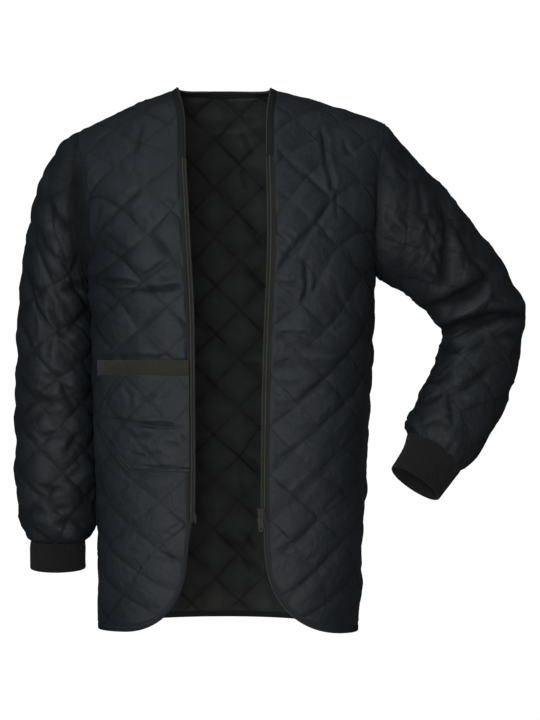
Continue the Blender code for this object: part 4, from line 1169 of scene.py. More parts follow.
# Creases on the front half of each sleeve, then on the rear half, in millimetres.
SLEEVE_CREASES = {
    RIGHT: (
        (3, 4.6, (-288, -215), (-284, -226), (-277, -242)),
        (3.4, 5, (-276, -247), (-262, -262), (-247, -274)),
        (5.2, 6, (-252, -313), (-236, -308), (-216, -306)),
        (3.4, 5, (-271, -328), (-264, -356), (-251, -383)),
        (3.4, 5, (-216, -346), (-234, -366), (-252, -384)),
        (3.2, 4.6, (-252, -383), (-238, -396), (-220, -406)),
        (3.4, 6, (-252, -456), (-245, -478), (-232, -497)),
        (2.4, 4, (-270, -388), (-274, -404), (-275, -422)),
        (2.8, 4.6, (-232, -538), (-240, -552), (-249, -565)),
        (2.4, 3.6, (-277, -632), (-266, -615)),
        (3, 4.2, (-287, -616), (-268, -620), (-247, -618)),
        (2.2, 3.4, (-264, -650), (-247, -649)),
        (2.4, 4, (-241, -602), (-224, -584)),
        (2.2, 3.8, (-294, -344), (-280, -355)),
        (3.4, 5.4, (-296, -480), (-270, -484), (-246, -483)),
        (2.8, 4.6, (-288, -540), (-268, -538), (-246, -533)),
        (2.6, 4.6, (-281, -442), (-264, -448), (-246, -450)),
        (3, 5, (-312, -520), (-296, -512), (-285, -500)),
        (3, 5, (-318, -660), (-300, -652), (-284, -654)),
        (3, 4.6, (-262, -676), (-240, -668), (-214, -672)),
        (3, 6, (-304, -290), (-296, -310), (-284, -322)),
        (6.2, 14, (-240, -138), (-236, -165), (-232, -200), (-233, -235),
         (-228, -268), (-225, -304)),
        (4, 7, (-283, -166), (-262, -196), (-236, -226)),
        (-6, 14, (-213, -300), (-209, -312), (-207, -330)),
    ),
    LEFT: (
        (2.8, 4, (295, -147), (299, -168), (300, -189)),
        (6.2, 6.6, (333, -177), (340, -205), (340, -236), (336, -275), (334, -309)),
        (-4, 12, (358, -240), (364, -275), (372, -305)),
        (-5, 16, (350, -385), (372, -400), (366, -425)),
        (2.4, 4, (305, -200), (312, -218), (322, -233)),
        (2.2, 3.6, (312, -239), (319, -256), (328, -274)),
        (2, 3.4, (318, -256), (332, -286)),
        (2.4, 3.6, (308, -284), (322, -301)),
        (2.6, 4.2, (247, -200), (258, -217), (272, -233)),
        (10.5, 6.6, (325, -378), (352, -366), (391, -357), (438, -349), (462, -349)),
        (-7.5, 9.5, (340, -361), (372, -346), (398, -330), (412, -312)),
        (8.5, 7.8, (314, -338), (338, -332), (362, -322), (386, -306), (402, -290)),
        (3, 4.4, (394, -316), (400, -302), (407, -290)),
        (3, 4.2, (357, -318), (370, -320), (383, -317)),
        (6.2, 7, (355, -468), (384, -450), (408, -433)),
        (3.4, 5, (343, -472), (347, -496), (348, -520)),
        (3.2, 4.8, (292, -489), (308, -480), (326, -472)),
        (3.2, 4.6, (300, -459), (320, -452), (340, -442)),
        (2.4, 3.6, (330, -547), (346, -556)),
        (2.2, 3.6, (270, -173), (287, -156)),
        (2.8, 4.8, (345, -200), (358, -220), (370, -242)),
        (2.2, 4, (263, -126), (280, -143)),
        (3, 4.8, (368, -422), (384, -405), (400, -389)),
        (3.4, 5, (420, -386), (440, -380), (458, -382)),
        (3, 5, (376, -262), (392, -272), (412, -300)),
        (2.8, 5, (330, -398), (352, -404), (380, -396)),
        (2.8, 4.2, (300, -520), (322, -512), (342, -520)),
    ),
}
SLEEVE_REAR_CREASES = {
    RIGHT: (
        (3, 6, (-300, -230), (-275, -262), (-240, -272)),
        (3.4, 5.6, (-312, -322), (-280, -346), (-240, -350)),
        (3.6, 5.6, (-318, -392), (-290, -410), (-248, -404)),
        (2.8, 4.6, (-300, -452), (-262, -462), (-226, -448)),
        (3, 5, (-310, -520), (-280, -536), (-240, -528)),
        (2.6, 4.6, (-290, -585), (-262, -600), (-232, -596)),
        (3, 4.6, (-306, -648), (-276, -658), (-240, -652)),
    ),
    LEFT: (
        (3, 6, (270, -180), (300, -212), (345, -222)),
        (3, 5.6, (300, -262), (340, -276), (392, -262)),
        (3.4, 5.6, (350, -300), (392, -318), (436, -312)),
        (3.2, 5.6, (372, -352), (412, -362), (455, -352)),
        (3.4, 5.6, (352, -402), (396, -418), (446, -412)),
        (3, 5, (330, -452), (370, -462), (416, -452)),
        (2.8, 4.6, (300, -496), (340, -506), (392, -512)),
    ),
}


def sleeve_rings(side, place, turn):
    """Rings of a sleeve and its cuff at places counted in rings from the armhole."""
    table = np.array((ARMHOLE[side],) + SLEEVE[side] + CUFF[side])
    knots = np.arange(float(len(table)))

    def at(where):
        where = np.clip(where, 0.0, knots[-1])
        return np.stack([smooth_line(knots, column, where) for column in table.T], axis=-1)

    here, step = at(place), at(place + 1) - at(place - 1)
    lean = np.clip((place - 3) / 5, 0.0, 1.0)  # from ring 8 on a ring stands square to the arm
    down = (step[:, 0] + step[:, 2], 2 * step[:, 4] * lean, step[:, 1] + step[:, 3])
    down = np.stack(down, axis=-1)
    outer, inner = here[:, [0, 4, 1]], here[:, [2, 4, 3]]
    fade = np.maximum(0.0, 1 - place / 3)
    return arm_rings(side, outer, inner, here[:, 5], down, fade, turn)


def tube_inward(grid, side):
    """The way into the cloth at each point of a sleeve's or a cuff's rings."""
    around = np.roll(grid, -1, axis=1) - np.roll(grid, 1, axis=1)
    return unit(np.cross(around, np.gradient(grid, axis=0)) * side)


def sleeve_form(side, fineness):
    """A sleeve's outer face, armhole first, with its cut and its distance to the seams."""
    dense = np.linspace(0.0, WRIST, 1200)
    middle_line = sleeve_rings(side, dense, np.array([0.0, 0.5]))[0].mean(axis=1)
    place = even(dense, middle_line, fineness)
    around = np.linspace(0.0, 1.0, 800)
    turn = even(around, sleeve_rings(side, np.array([GIRTH_RING]), around)[0][0], fineness)[:-1]
    form, ring_in = sleeve_rings(side, place, turn)
    run = run_along(form, 0)
    centre = run_along(form.mean(axis=1), 0)
    cap = np.searchsorted(place, CAP)
    v = np.where((place < CAP)[:, None], run[cap] - run, (centre[cap] - centre)[:, None])
    girth = run_along(np.concatenate([form, form[:, :1]], axis=1), 1)[:, :-1]
    middle = np.argmin(np.abs(turn - 0.5))
    u = girth - girth[:, middle:middle + 1]
    to_top, to_wrist = run, run[-1:] - run
    inward = turn_towards(tube_inward(form, side), ring_in[:1], to_top)
    inward = turn_towards(inward, ring_in[-1:], to_wrist)
    return form, inward, u, v, to_top, to_wrist, turn


# Small gathers where the sleeve is sewn to its cuff, which run round a wrist of this radius.
WRIST_GATHER_SIZE, WRIST_GATHER_REACH, WRIST_GATHER_TALL = 0.011, 0.020, 0.0018
WRIST_RADIUS, WRIST_SEWN = 0.08, 0.006
WRIST_HOLDS = 2.2  # the wrist's seam holds the puffs down over a shorter way than the armhole's
HALF_TURN = 2.2  # how sharply the creases of the front half give way to the rear's
ARMHOLE_SHADE_Z, ARMHOLE_SHADE_FADE = -0.09, 0.05  # below this the front of the sleeve gets painted shade beside the body
UNDERARM_TURN = 0.11  # how far round from the underarm the painted shade goes
UNDERARM_SHADE_Z, UNDERARM_SHADE_FADE = -0.40, 0.10  # down to here

for side in (RIGHT, LEFT):
    form, inward, u, v, to_top, to_wrist, turn = sleeve_form(side, SLEEVE_FINENESS)
    x, z, wide, tall = SLEEVE_QUILTING[side]
    quilting = Quilting(*cut_place(form, u, v, x, z), wide, tall)
    lines = quilt_lines(u, v, quilting, 50 + side)
    faces_front = smoothstep(0.5 + HALF_TURN * np.sin(2 * np.pi * turn))
    folds = creases(form, SLEEVE_CREASES[side]) * faces_front
    folds = folds + creases(form, SLEEVE_REAR_CREASES[side]) * (1 - faces_front)
    circle = WRIST_RADIUS * np.stack([np.cos(2 * np.pi * turn), np.sin(2 * np.pi * turn)])
    gather = wander(circle[0] + 0.1, circle[1], WRIST_GATHER_SIZE, 55 + side)
    gather = gather * np.exp(-to_wrist / WRIST_GATHER_REACH) * smoothstep(to_wrist / WRIST_SEWN)
    folds = folds + WRIST_GATHER_TALL * gather
    seam = np.minimum(to_top, WRIST_HOLDS * to_wrist)
    edge = np.ones_like(u)  # a tube has no bound edge
    # Painted shade on the shell: at the front of the armhole, and under the arm.
    at_armhole, reach = ARMHOLE_PAINTED_SHADE[side]
    shade = at_armhole * np.exp(-((to_top / reach) ** 2))
    z = form[..., 2]
    shade = shade * faces_front * smoothstep((ARMHOLE_SHADE_Z - z) / ARMHOLE_SHADE_FADE)
    below = np.exp(-((np.minimum(turn, 1 - turn) / UNDERARM_TURN) ** 2))
    below = below * smoothstep((z - UNDERARM_SHADE_Z) / UNDERARM_SHADE_FADE)
    shade = shade + UNDERARM_PAINTED_SHADE[side] * below
    name = "sleeve_" + SIDE_NAME[side]
    shape = Shape(folds, wrinkle=SLEEVE_WRINKLE[side], loft=SLEEVE_LOFT[side])
    piece = quilted_wall("quilted_" + name, form, inward, (u, v), seam, edge, lines, quilting,
                         shape, 50 + side, closed=True, shell=shaded_sleeve_shell, shade=shade)
    width, length, area = flat_size(np.concatenate([form, form[:, :1]], axis=1), u, v)
    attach(piece, "jacket")
    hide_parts(*SLEEVE_SOLIDS[side])


# ---- The cuffs
# Tubes of knitted rib, doubled at the mouth and sewn into the gathered end of each sleeve. The
# ribs run along the arm, and the mouth is a soft fold.

RIB_THICK = 0.003
RIB_DEEP = 0.0008
RIB_POWER = 0.6  # below 1 makes each rib's back broad and its groove narrow
RIB_MIDDLE = 0.6  # the share of a rib's height that lies under the cuff's own face
RIB_COUNT = 84
POINTS_A_RIB = 6
CUFF_ROWS = 24
KNIT_LOOP = 0.0011  # from one loop to the next along a rib
MOUTH_ROUND, MOUTH_RIB = 0.0016, 0.0005  # how far the mouth's fold stands past its rows
CUFF_UNEVEN, CUFF_UNEVEN_SIZE, CUFF_UNEVEN_FADE = 0.0010, 0.022, 0.01
CUFF_GIRTH = 0.26  # the length that the unevenness is laid round
CUFF_TUCK, CUFF_TUCK_REACH = 0.0014, 0.004  # how far the seam draws the cuff's top in


def rib_finish():
    """Black knitted rib: rows of small knit loops along each rib, with painted shade down in the
    grooves.
    """
    material, sockets, nodes = new_finish("black knitted rib", 0.86, 0.22, sheen=0.12)
    maths, weighed = nodes.maths, nodes.weighed
    across, along_rib = split_map(nodes, "ribs")
    ridge = maths("ABSOLUTE", maths("SINE", maths("MULTIPLY", across, np.pi)))
    slant = maths("ABSOLUTE", maths("SUBTRACT", maths("FRACT", across), 0.5))
    loops = maths("SINE", weighed((along_rib, 2 * np.pi / KNIT_LOOP), (slant, 7.0)))
    body = nodes.add("TexCoord").outputs["Object"]
    fuzz, patches = nodes.noise(body, 900.0, 3.0, 0.7), nodes.noise(body, 26.0, 3.0)
    # Paler rib backs and darker grooves: painted shade.
    shade = weighed((ridge, 0.55), (loops, 0.12), (patches, 0.35))
    colour = nodes.tint(shade, (0.0045, 0.0045, 0.0047), (0.0188, 0.0186, 0.0194))
    link_finish(material, sockets, colour, weighed((loops, 0.00009), (fuzz, 0.00016)))
    return material


black_rib = rib_finish()

for side in (RIGHT, LEFT):
    columns = RIB_COUNT * POINTS_A_RIB
    turn = np.arange(columns) / columns
    places = np.linspace(WRIST, WRIST + len(CUFF[side]), CUFF_ROWS)
    form, ring_in = sleeve_rings(side, places, turn)
    length = run_along(form, 0)
    inward = turn_towards(tube_inward(form, side), ring_in[:1], length)
    rib = np.abs(np.sin(np.pi * RIB_COUNT * turn)) ** RIB_POWER
    uneven = wander(turn * CUFF_GIRTH, length, CUFF_UNEVEN_SIZE, 71 + side)
    uneven = CUFF_UNEVEN * uneven * smoothstep(length / CUFF_UNEVEN_FADE)
    tuck = CUFF_TUCK * np.exp(-length / CUFF_TUCK_REACH)
    ridge = RIB_DEEP * (rib - RIB_MIDDLE)
    outside = form - inward * (uneven - tuck + ridge)[..., None]
    inside = form - inward * (uneven - RIB_THICK - ridge / 2)[..., None]
    down = unit(form[-1] - form[-2])
    fold = []
    for angle in np.radians([30, 60, 90, 120, 150]):
        across = (outside[-1] + inside[-1]) / 2 + (outside[-1] - inside[-1]) / 2 * np.cos(angle)
        fold.append(across + down * (MOUTH_ROUND + MOUTH_RIB * rib[:, None]) * np.sin(angle))
    points = np.concatenate([outside, np.array(fold), inside[::-1]])
    rows = len(points)
    faces = grid_quads(rows, columns, closed=True)
    last, first = (rows - 1) * columns + np.arange(columns), np.arange(columns)
    rim = np.stack([last, np.roll(last, -1), np.roll(first, -1), first], axis=-1)
    run = run_along(points, 0).mean(axis=1)[:, None] + np.zeros(columns)
    ribs = RIB_COUNT * turn + np.zeros((rows, 1))
    name = "cuff_" + SIDE_NAME[side]
    piece = add_piece("ribbed_" + name, points, np.concatenate([faces, rim]), [black_rib],
                      maps={"ribs": (ribs, run)})
    girth = float(np.linalg.norm(np.diff(form[0], axis=0, append=form[0][:1]), axis=1).sum())
    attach(piece, "jacket")
    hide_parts(name)


# ---- The pocket
# A patch of the same quilt sewn flat on the wearer's right front, with its lower outer corner cut
# at a slant. A folded olive tape binds its mouth, held by a row of stitches along each edge.

POCKET_OUT, POCKET_IN = 0.0038, 0.0004  # the pocket's outer and inner faces, from the front's
BAND_BOTTOM_Z = -0.443
POCKET_WIDE = 0.702  # where its outer side lies, as a part of the front's turn
POCKET_BOTTOM_WIDE = 0.384
POCKET_FINENESS, POCKET_EVEN_Z = 0.0022, -0.5
POCKET_QUILTING = Quilting(0.158, -0.518, 0.078, 0.078)
POCKET_PUFF, POCKET_PUCKER, POCKET_WRINKLE = 0.0016, 0.0005, 0.0017

# Creases of the pocket, in millimetres.
POCKET_CREASES = (
    (2.6, 3.6, (-181, -490), (-172, -470), (-157, -452)),
    (2.2, 3, (-128, -481), (-116, -479), (-104, -472)),
    (1.8, 2.8, (-97, -481), (-81, -467)),
    (2.8, 3.4, (-181, -509), (-156, -512), (-128, -516), (-98, -521), (-66, -522)),
    (1.8, 2.6, (-128, -519), (-108, -518)),
    (1.8, 2.4, (-97, -530), (-74, -531)),
    (2, 3, (-136, -537), (-112, -536)),
    (2, 3, (-186, -528), (-176, -545), (-166, -556)),
    (1.8, 2.8, (-140, -560), (-118, -566), (-100, -560)),
    (-2.2, 3.4, (-118, -509), (-98, -508), (-80, -510)),
    (1.6, 2.4, (-92, -545), (-66, -547)),
    (1.6, 3, (-150, -462), (-140, -474), (-142, -492)),
)

# How the pocket's hem is turned and stitched, as distances in from its edge.
HEM_ROWS, HEM_ROW_WIDE = (0.0035, 0.0095), 0.0011
HEM_ROLLS = ((0.0064, 0.0022), (0.0012, 0.0014))  # the middle and the width of each soft roll
HEM_ROLL_TALL = 0.0010
HEM_SINK = 0.0006  # how far the hem lies in from the pocket's outer face
HEM_ROUND, HEM_ROUND_TALL = 0.0016, 0.0013
HEM_INSIDE = 0.016  # from here in, the pocket has its full puffs and creases
SLANT_FIRM, BOTTOM_FIRM, FIRM_FADE = 0.45, 1.60, 0.012  # the bottom's hem is the thicker
SLANT_HEM_SHARE = 0.75  # the slanted side's true distance, against that measured level


def on_front(side, parts, z):
    """Points on a front below the underarm, from a row of places across it at each height."""
    return np.array([front_body(side, row, level) for row, level in zip(parts, z)])


def pocket_parts(z, columns):
    """Places across the pocket at each of its rows, narrowing down its slanted corner."""
    wide = POCKET_WIDE + (POCKET_BOTTOM_WIDE - POCKET_WIDE) * down_the_slant(z)
    return wide[:, None] * columns[None]


def patch_wall(name, form, out, inner, finish, maps):
    """A flat wall on the front: out is how far its outer face stands off, and inner its inner."""
    inward = facing_in(form, -RIGHT)
    points = np.stack([form - inward * out[..., None], form - inward * inner])
    faces = np.concatenate(wall_faces(*form.shape[:2]))
    return add_piece(name, points, faces, [finish], maps=maps)


def bell(values, middle, width):
    """A rounded ridge, 1 tall at its middle."""
    return np.exp(-(((values - middle) / width) ** 2))


def rounded_edge(distance, width):
    """0 at an edge, rising in a quarter circle to 1 at a width in from it."""
    return np.sqrt(np.clip(1 - (1 - np.minimum(distance / width, 1.0)) ** 2, 0.0, 1.0))


rows = np.linspace(POCKET_BOTTOM_Z, BAND_BOTTOM_Z, 68)
mouth = front_body(RIGHT, np.linspace(0, POCKET_WIDE, 300), POCKET_EVEN_Z)
columns = even(np.linspace(0, 1, 300), mouth, POCKET_FINENESS)
form = on_front(RIGHT, pocket_parts(rows, columns), rows)
across, up = run_along(form, 1), run_along(form, 0)
u, v = np.abs(form[:, :1, 0]) + across, form[..., 2]
to_slant = (across[:, -1:] - across) * np.where(v < POCKET_SLANT_Z, SLANT_HEM_SHARE, 1.0)
hem = np.minimum(to_slant, up)
lines = quilt_lines(u, v, POCKET_QUILTING, 91)
height, pucker = puffs(*lines, line_spacing(POCKET_QUILTING), 91)
folds = creases(form, POCKET_CREASES) + POCKET_WRINKLE * crumple(u, v, 93)
stitched = sum(bell(hem, row, HEM_ROW_WIDE) for row in HEM_ROWS)
rolled = sum(bell(hem, *roll) for roll in HEM_ROLLS)
at_bottom = smoothstep(0.5 + (to_slant - up) / FIRM_FADE)
firm = SLANT_FIRM + (BOTTOM_FIRM - SLANT_FIRM) * at_bottom
inside = smoothstep(hem / HEM_INSIDE)
quilted = POCKET_PUFF * height + folds + POCKET_PUCKER * pucker
out = POCKET_OUT - HEM_SINK + quilted * inside
out = out + firm * HEM_ROLL_TALL * (rolled - stitched)
out = out - HEM_ROUND_TALL * (1 - rounded_edge(hem, HEM_ROUND))
# The pocket's creases fill its hollows map, which the shell's finish turns into painted shade.
piece = patch_wall("quilted_pocket", form, out, POCKET_IN, navy_shell, {
    "cut": (both_faces(u), both_faces(v)),
    "hollows": (both_faces(-folds, 0 * folds) * inside / DEEP_CREASE, both_faces(0 * u)),
    "quilting": tuple(both_faces(line) for line in lines),
})
width, length, area = flat_size(form, u, v)
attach(piece, "jacket")
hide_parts("pocket")


def tape_finish(name, dark, light, roughness, specular, pitch, sheen=0.0):
    """Woven tape: fine ribs of weft across it, and a little unevenness in its dye."""
    material, sockets, nodes = new_finish(name, roughness, specular, sheen)
    maths, weighed = nodes.maths, nodes.weighed
    ahead, across = split_map(nodes, "cut")
    body = nodes.add("TexCoord").outputs["Object"]
    weft = maths("SINE", maths("MULTIPLY", ahead, 2 * np.pi / pitch))
    warp = maths("SINE", maths("MULTIPLY", across, 2 * np.pi / (1.6 * pitch)))
    weave = maths("MULTIPLY", weft, warp)
    cloud, grain = nodes.noise(body, 34.0, 5.0, 0.65), nodes.noise(body, 1100.0, 2.0)
    colour = nodes.tint(weighed((cloud, 0.7), (grain, 0.35), (weave, 0.10)), dark, light)
    link_finish(material, sockets, colour, weighed((weave, 0.00006), (cloud, 0.0006)))
    return material


olive_tape = tape_finish("olive woven tape", (0.017, 0.0185, 0.012), (0.044, 0.046, 0.033),
                         0.78, 0.25, 0.0011, sheen=0.15)

# Creases of the band, in millimetres.
BAND_CREASES = (
    (1.4, 2.2, (-150, -423), (-146, -440)),
    (1.2, 2, (-108, -422.5), (-112, -441)),
    (1.2, 2.2, (-176, -424), (-171, -440)),
)
BAND_OUT, BAND_IN = 0.0034, 0.0022  # its edge and its inner face, from the front's outer face
BAND_ROUND, BAND_ROUND_TALL = 0.0012, 0.0011
BAND_ROW_IN, BAND_ROW_WIDE, BAND_ROW_DEEP = 0.0022, 0.0008, 0.0005  # the stitches along its edges
BAND_BULGE, BAND_WRINKLE = 0.0008, 0.0009

rows = np.linspace(BAND_BOTTOM_Z - 0.001, POCKET_TOP_Z, 30)
form = on_front(RIGHT, columns[None] * POCKET_WIDE + np.zeros((len(rows), 1)), rows)
across, up = run_along(form, 1), run_along(form, 0)
u, v = np.abs(form[:, :1, 0]) + across, up
rim = np.minimum(up, up[-1:] - up)
end = np.minimum(across, across[:, -1:] - across)
bulge = np.sin(np.pi * np.clip(up / up[-1:], 0, 1))
out = BAND_OUT + BAND_ROUND_TALL * rounded_edge(np.minimum(rim, end), BAND_ROUND)
out = out - BAND_ROW_DEEP * bell(rim, BAND_ROW_IN, BAND_ROW_WIDE)
out = out + (BAND_BULGE + BAND_WRINKLE * crumple(u, 2 * v, 97)) * bulge
out = out + creases(form, BAND_CREASES)
piece = patch_wall("taped_pocket_mouth", form, out, BAND_IN, olive_tape,
                   {"cut": (both_faces(u), both_faces(v))})
width, length, _ = flat_size(form, u, v)
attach(piece, "jacket")
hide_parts("pocket_band")


# ---- The bindings
# Bias tape folded over the raw edges of the quilt and sewn through. One length goes round the
# neck between the two tops of the zip, and the other round both front corners and the hem.

ZIP_TOP_ARM_ROW = 0.517

# The folded tape as (across, out) points: across goes past the cloth's edge, out is off its face.
NECK_TAPE = (
    (-0.0040, 0.0002), (0.0000, 0.0006), (0.0042, 0.0005), (0.0052, -0.0001), (0.0062, 0.0006),
    (0.0073, 0.0005), (0.0081, -0.0006), (0.0083, -0.0020), (0.0081, -0.0034), (0.0073, -0.0043),
    (0.0060, -0.0046), (0.0042, -0.0047), (0.0000, -0.0048), (-0.0040, -0.0044),
)
HEM_TAPE = (
    (-0.0045, 0.0002), (-0.0010, 0.0006), (0.0016, 0.0006), (0.0026, 0.0000), (0.0034, 0.0006),
    (0.0044, 0.0003), (0.0051, -0.0007), (0.0053, -0.0020), (0.0051, -0.0033), (0.0044, -0.0042),
    (0.0030, -0.0046), (0.0010, -0.0047), (-0.0045, -0.0044),
)
TAPE_WALL = 0.0006
TAPE_UNEVEN_SIZE = 0.009
BINDING_UNEVEN = 0.0002
BINDING_THREAD = 0.0008
PATH_STEP = 0.0022  # between the rows of a strip along an edge

neck_cloth = tape_finish("olive bias binding", (0.0110, 0.0130, 0.0120), (0.0225, 0.0255, 0.0235),
                         0.74, 0.20, BINDING_THREAD)
# The tape at the sides and back of the hem is darker than the fronts' tape, as painted shade inside
# the hem.
shaded_hem_cloth = tape_finish("bias binding darkened with painted shade", (0.0060, 0.0072, 0.0074), (0.0135, 0.0156, 0.0158),
                        0.74, 0.20, BINDING_THREAD)
front_cloth = tape_finish("navy bias binding", (0.0120, 0.0155, 0.0185), (0.0250, 0.0310, 0.0360),
                          0.66, 0.28, BINDING_THREAD)
# The binding's rolled fold is paler, as a painted highlight along its edge.
fold_highlight = tape_finish("binding fold with painted highlight", (0.040, 0.044, 0.037),
                           (0.070, 0.075, 0.063), 0.60, 0.30, BINDING_THREAD)


def neck_cloths(over, out, place):
    """Which cloth each face of the neck's binding has: 0 is the tape, and 1 its fold, paler as a
    painted highlight.
    """
    return (over > 0.0072) & (out > -0.0030)


def hem_cloths(over, out, place):
    """The same at the hem, where the fold is paler round the wearer's left corner as a painted
    highlight, and 2 is the tape on the fronts, which is the colour of the shell. 0, the tape
    elsewhere, is darker as painted shade."""
    in_front = place[:, 1] < -0.06
    # pale marks where the fold gets the painted highlight.
    pale = (over > 0.0032) & (out > -0.0022) & (place[:, 0] > 0.05)
    return np.where(in_front, np.where(pale, 1, 2), 0)


def outline_of_tape(section):
    """The closed outline of a folded tape, from the line of its outer face and its thickness."""
    line = np.array(section)
    knots = np.arange(float(len(line)))
    dense = np.linspace(0.0, knots[-1], 2 * len(line) - 1)
    line = np.stack([smooth_line(knots, column, dense) for column in line.T], axis=-1)
    path = unit(np.gradient(line, axis=0))
    inner = line + np.stack([path[:, 1], -path[:, 0]], axis=-1) * TAPE_WALL
    return np.concatenate([line, inner[::-1]])


def swept_strip(name, path, inward, sign, outline, materials, waver, seed, cloths):
    """A strip along a cloth's edge. sign is the one that makes across point off the cloth, and
    cloths(over, out, place) gives the number of each face's material."""
    ahead = np.gradient(path, axis=0)
    across = unit(np.cross(ahead, inward)) * sign
    run = path_run(path)
    count = len(outline)
    u = run[:, None] + np.zeros(count)
    v = np.cumsum(np.linalg.norm(np.diff(outline, axis=0, prepend=outline[:1]), axis=1))
    v = v[None] + np.zeros((len(path), 1))
    over = outline[:, 0][None] + np.zeros((len(path), 1))
    uneven = wander(u, v * 2, TAPE_UNEVEN_SIZE, seed) * smoothstep((over + 0.001) / 0.003)
    out = outline[:, 1][None] + waver * uneven
    points = path[:, None] + across[:, None] * over[..., None] - inward[:, None] * out[..., None]
    quads = grid_quads(len(path), count, closed=True)
    ends = [list(range(count)), list(range((len(path) - 1) * count, len(path) * count))[::-1]]
    faces = [list(face) for face in quads] + ends
    row, corner = np.divmod(quads[:, 0], count)
    slots = cloths(outline[corner, 0], outline[corner, 1], path[row]).astype(int)
    slots = np.concatenate([slots, [0, 0]])
    return add_piece(name, points, faces, materials, slots, {"cut": (u, v)}), run[-1]


def ease_path(points, inward, spacing):
    """A path and its directions read again at even steps."""
    run = path_run(points)
    kept = np.concatenate([[True], np.diff(run) > 1e-7])
    run, points, inward = run[kept], points[kept], inward[kept]
    steps = np.linspace(0.0, run[-1], int(run[-1] / spacing) + 1)
    read = [np.interp(steps, run, column) for column in np.concatenate([points, inward], axis=1).T]
    read = np.stack(read, axis=-1)
    return read[:, :3], unit(read[:, 3:])


zip_ends = {}
for side in (RIGHT, LEFT):
    free_edge = fronts[side][0][:, 0]
    zip_top = front_chest(side, np.zeros(1), ZIP_TOP_ARM_ROW)[0]
    bottom = int(np.argmin(np.abs(free_edge[:, 2] - ZIP_BOTTOM_Z)))
    zip_ends[side] = (bottom, int(np.argmin(np.linalg.norm(free_edge - zip_top, axis=1))))

neckline = np.abs(back_part) <= NECK_SHARE
right_bottom, right_top = zip_ends[RIGHT]
left_bottom, left_top = zip_ends[LEFT]
neck_lines, hem_lines = [], []
for right, left, whole in zip(fronts[RIGHT], fronts[LEFT], back):
    neck_lines.append(np.concatenate([
        right[right_top:-1, 0], whole[-1, neckline], left[left_top:-1, 0][::-1],
    ]))
    hem_lines.append(np.concatenate([
        right[:right_bottom + 1, 0][::-1], right[0, 1:-1], whole[0],
        left[0, 1:-1][::-1], left[:left_bottom + 1, 0],
    ]))

for name, solid, edge_lines, sign, section, cloth, cloths in (
    ("bound_neckline", "neck_binding", neck_lines, -1, NECK_TAPE, neck_cloth, neck_cloths),
    ("bound_hem", "hem_binding", hem_lines, 1, HEM_TAPE, shaded_hem_cloth, hem_cloths),
):
    path, inward = ease_path(*edge_lines, PATH_STEP)
    outline = outline_of_tape(section)
    materials = [cloth, fold_highlight, front_cloth]
    piece, length = swept_strip(
        name, path, inward, sign, outline, materials, BINDING_UNEVEN, 120, cloths,
    )
    wide = float(path_run(outline[:len(outline) // 2])[-1])
    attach(piece, "jacket")
    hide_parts(solid)


# ---- The zip
# An open-end coil zip, half on each front: a woven tape folded into the edge, with a raised cord
# and a line of nylon teeth. Its slider rests near the bottom on the wearer's left.

TAPE_OUT = -0.0020  # the middle of the tape's thickness, from the front's outer face
ZIP_TAPE = (
    (-0.0040, 0.0022), (-0.0005, 0.0024), (0.0006, 0.0019), (0.0012, 0.0008), (0.0022, 0.0010),
    (0.0030, 0.0019), (0.0038, 0.0010), (0.0048, 0.0006), (0.0066, 0.0006), (0.0074, 0.0010),
    (0.0080, 0.0012), (0.0085, 0.0003), (0.0085, -0.0005), (0.0066, -0.0007), (0.0020, -0.0007),
    (-0.0040, -0.0008),
)
ZIP_UNEVEN = 0.00015
ZIP_THREAD = 0.0007
TOOTH_PITCH = 0.0020
TOOTH = (0.0030, 0.0017, 0.0012)  # across the tape, out of it, and along it
TOOTH_OVER = 0.0077  # where the teeth stand, from the cloth's edge
TOOTH_OUT = TAPE_OUT + 0.0008
TOOTH_BEVEL, TOOTH_NECK = 0.0004, 0.62  # the neck's share of the tooth's length along the tape
SLIDER_CLEAR = 0.001

zip_tape = tape_finish("olive zip tape", (0.0100, 0.0110, 0.0090), (0.0240, 0.0255, 0.0210),
                       0.72, 0.30, ZIP_THREAD, sheen=0.10)
zip_cord = tape_finish("pale cord of the zip", (0.052, 0.056, 0.046), (0.090, 0.095, 0.080),
                       0.66, 0.32, ZIP_THREAD, sheen=0.10)


def tape_cloths(over, out, place):
    """Which faces of the zip's half are of its raised cord (1), and which of its tape (0)."""
    return (over > 0.0016) & (over < 0.0036) & (out > TAPE_OUT)


def plastic_finish(name, dark, light, roughness, specular, grain):
    """Moulded plastic, a little uneven in its colour and its gloss, with rubbed high places."""
    material, sockets, nodes = new_finish(name, roughness, specular)
    cloud = nodes.noise(nodes.add("TexCoord").outputs["Object"], 160.0, 5.0, 0.65)
    worn = nodes.ramp(nodes.add("NewGeometry").outputs["Pointiness"], 0.50, 0.60)
    colour = nodes.tint(nodes.weighed((cloud, 0.8), (worn, 0.5)), dark, light)
    rough = nodes.ramp(cloud, 0.3, 0.7, roughness - 0.06, roughness + 0.08)
    link_finish(material, sockets, colour, nodes.weighed((cloud, grain)), rough)
    return material


tooth_nylon = plastic_finish("dark olive nylon", (0.020, 0.022, 0.018), (0.075, 0.078, 0.068),
                             0.42, 0.40, 0.00010)
box_plastic = plastic_finish("dark moulded plastic", (0.012, 0.013, 0.012), (0.028, 0.030, 0.027),
                             0.50, 0.30, 0.00008)


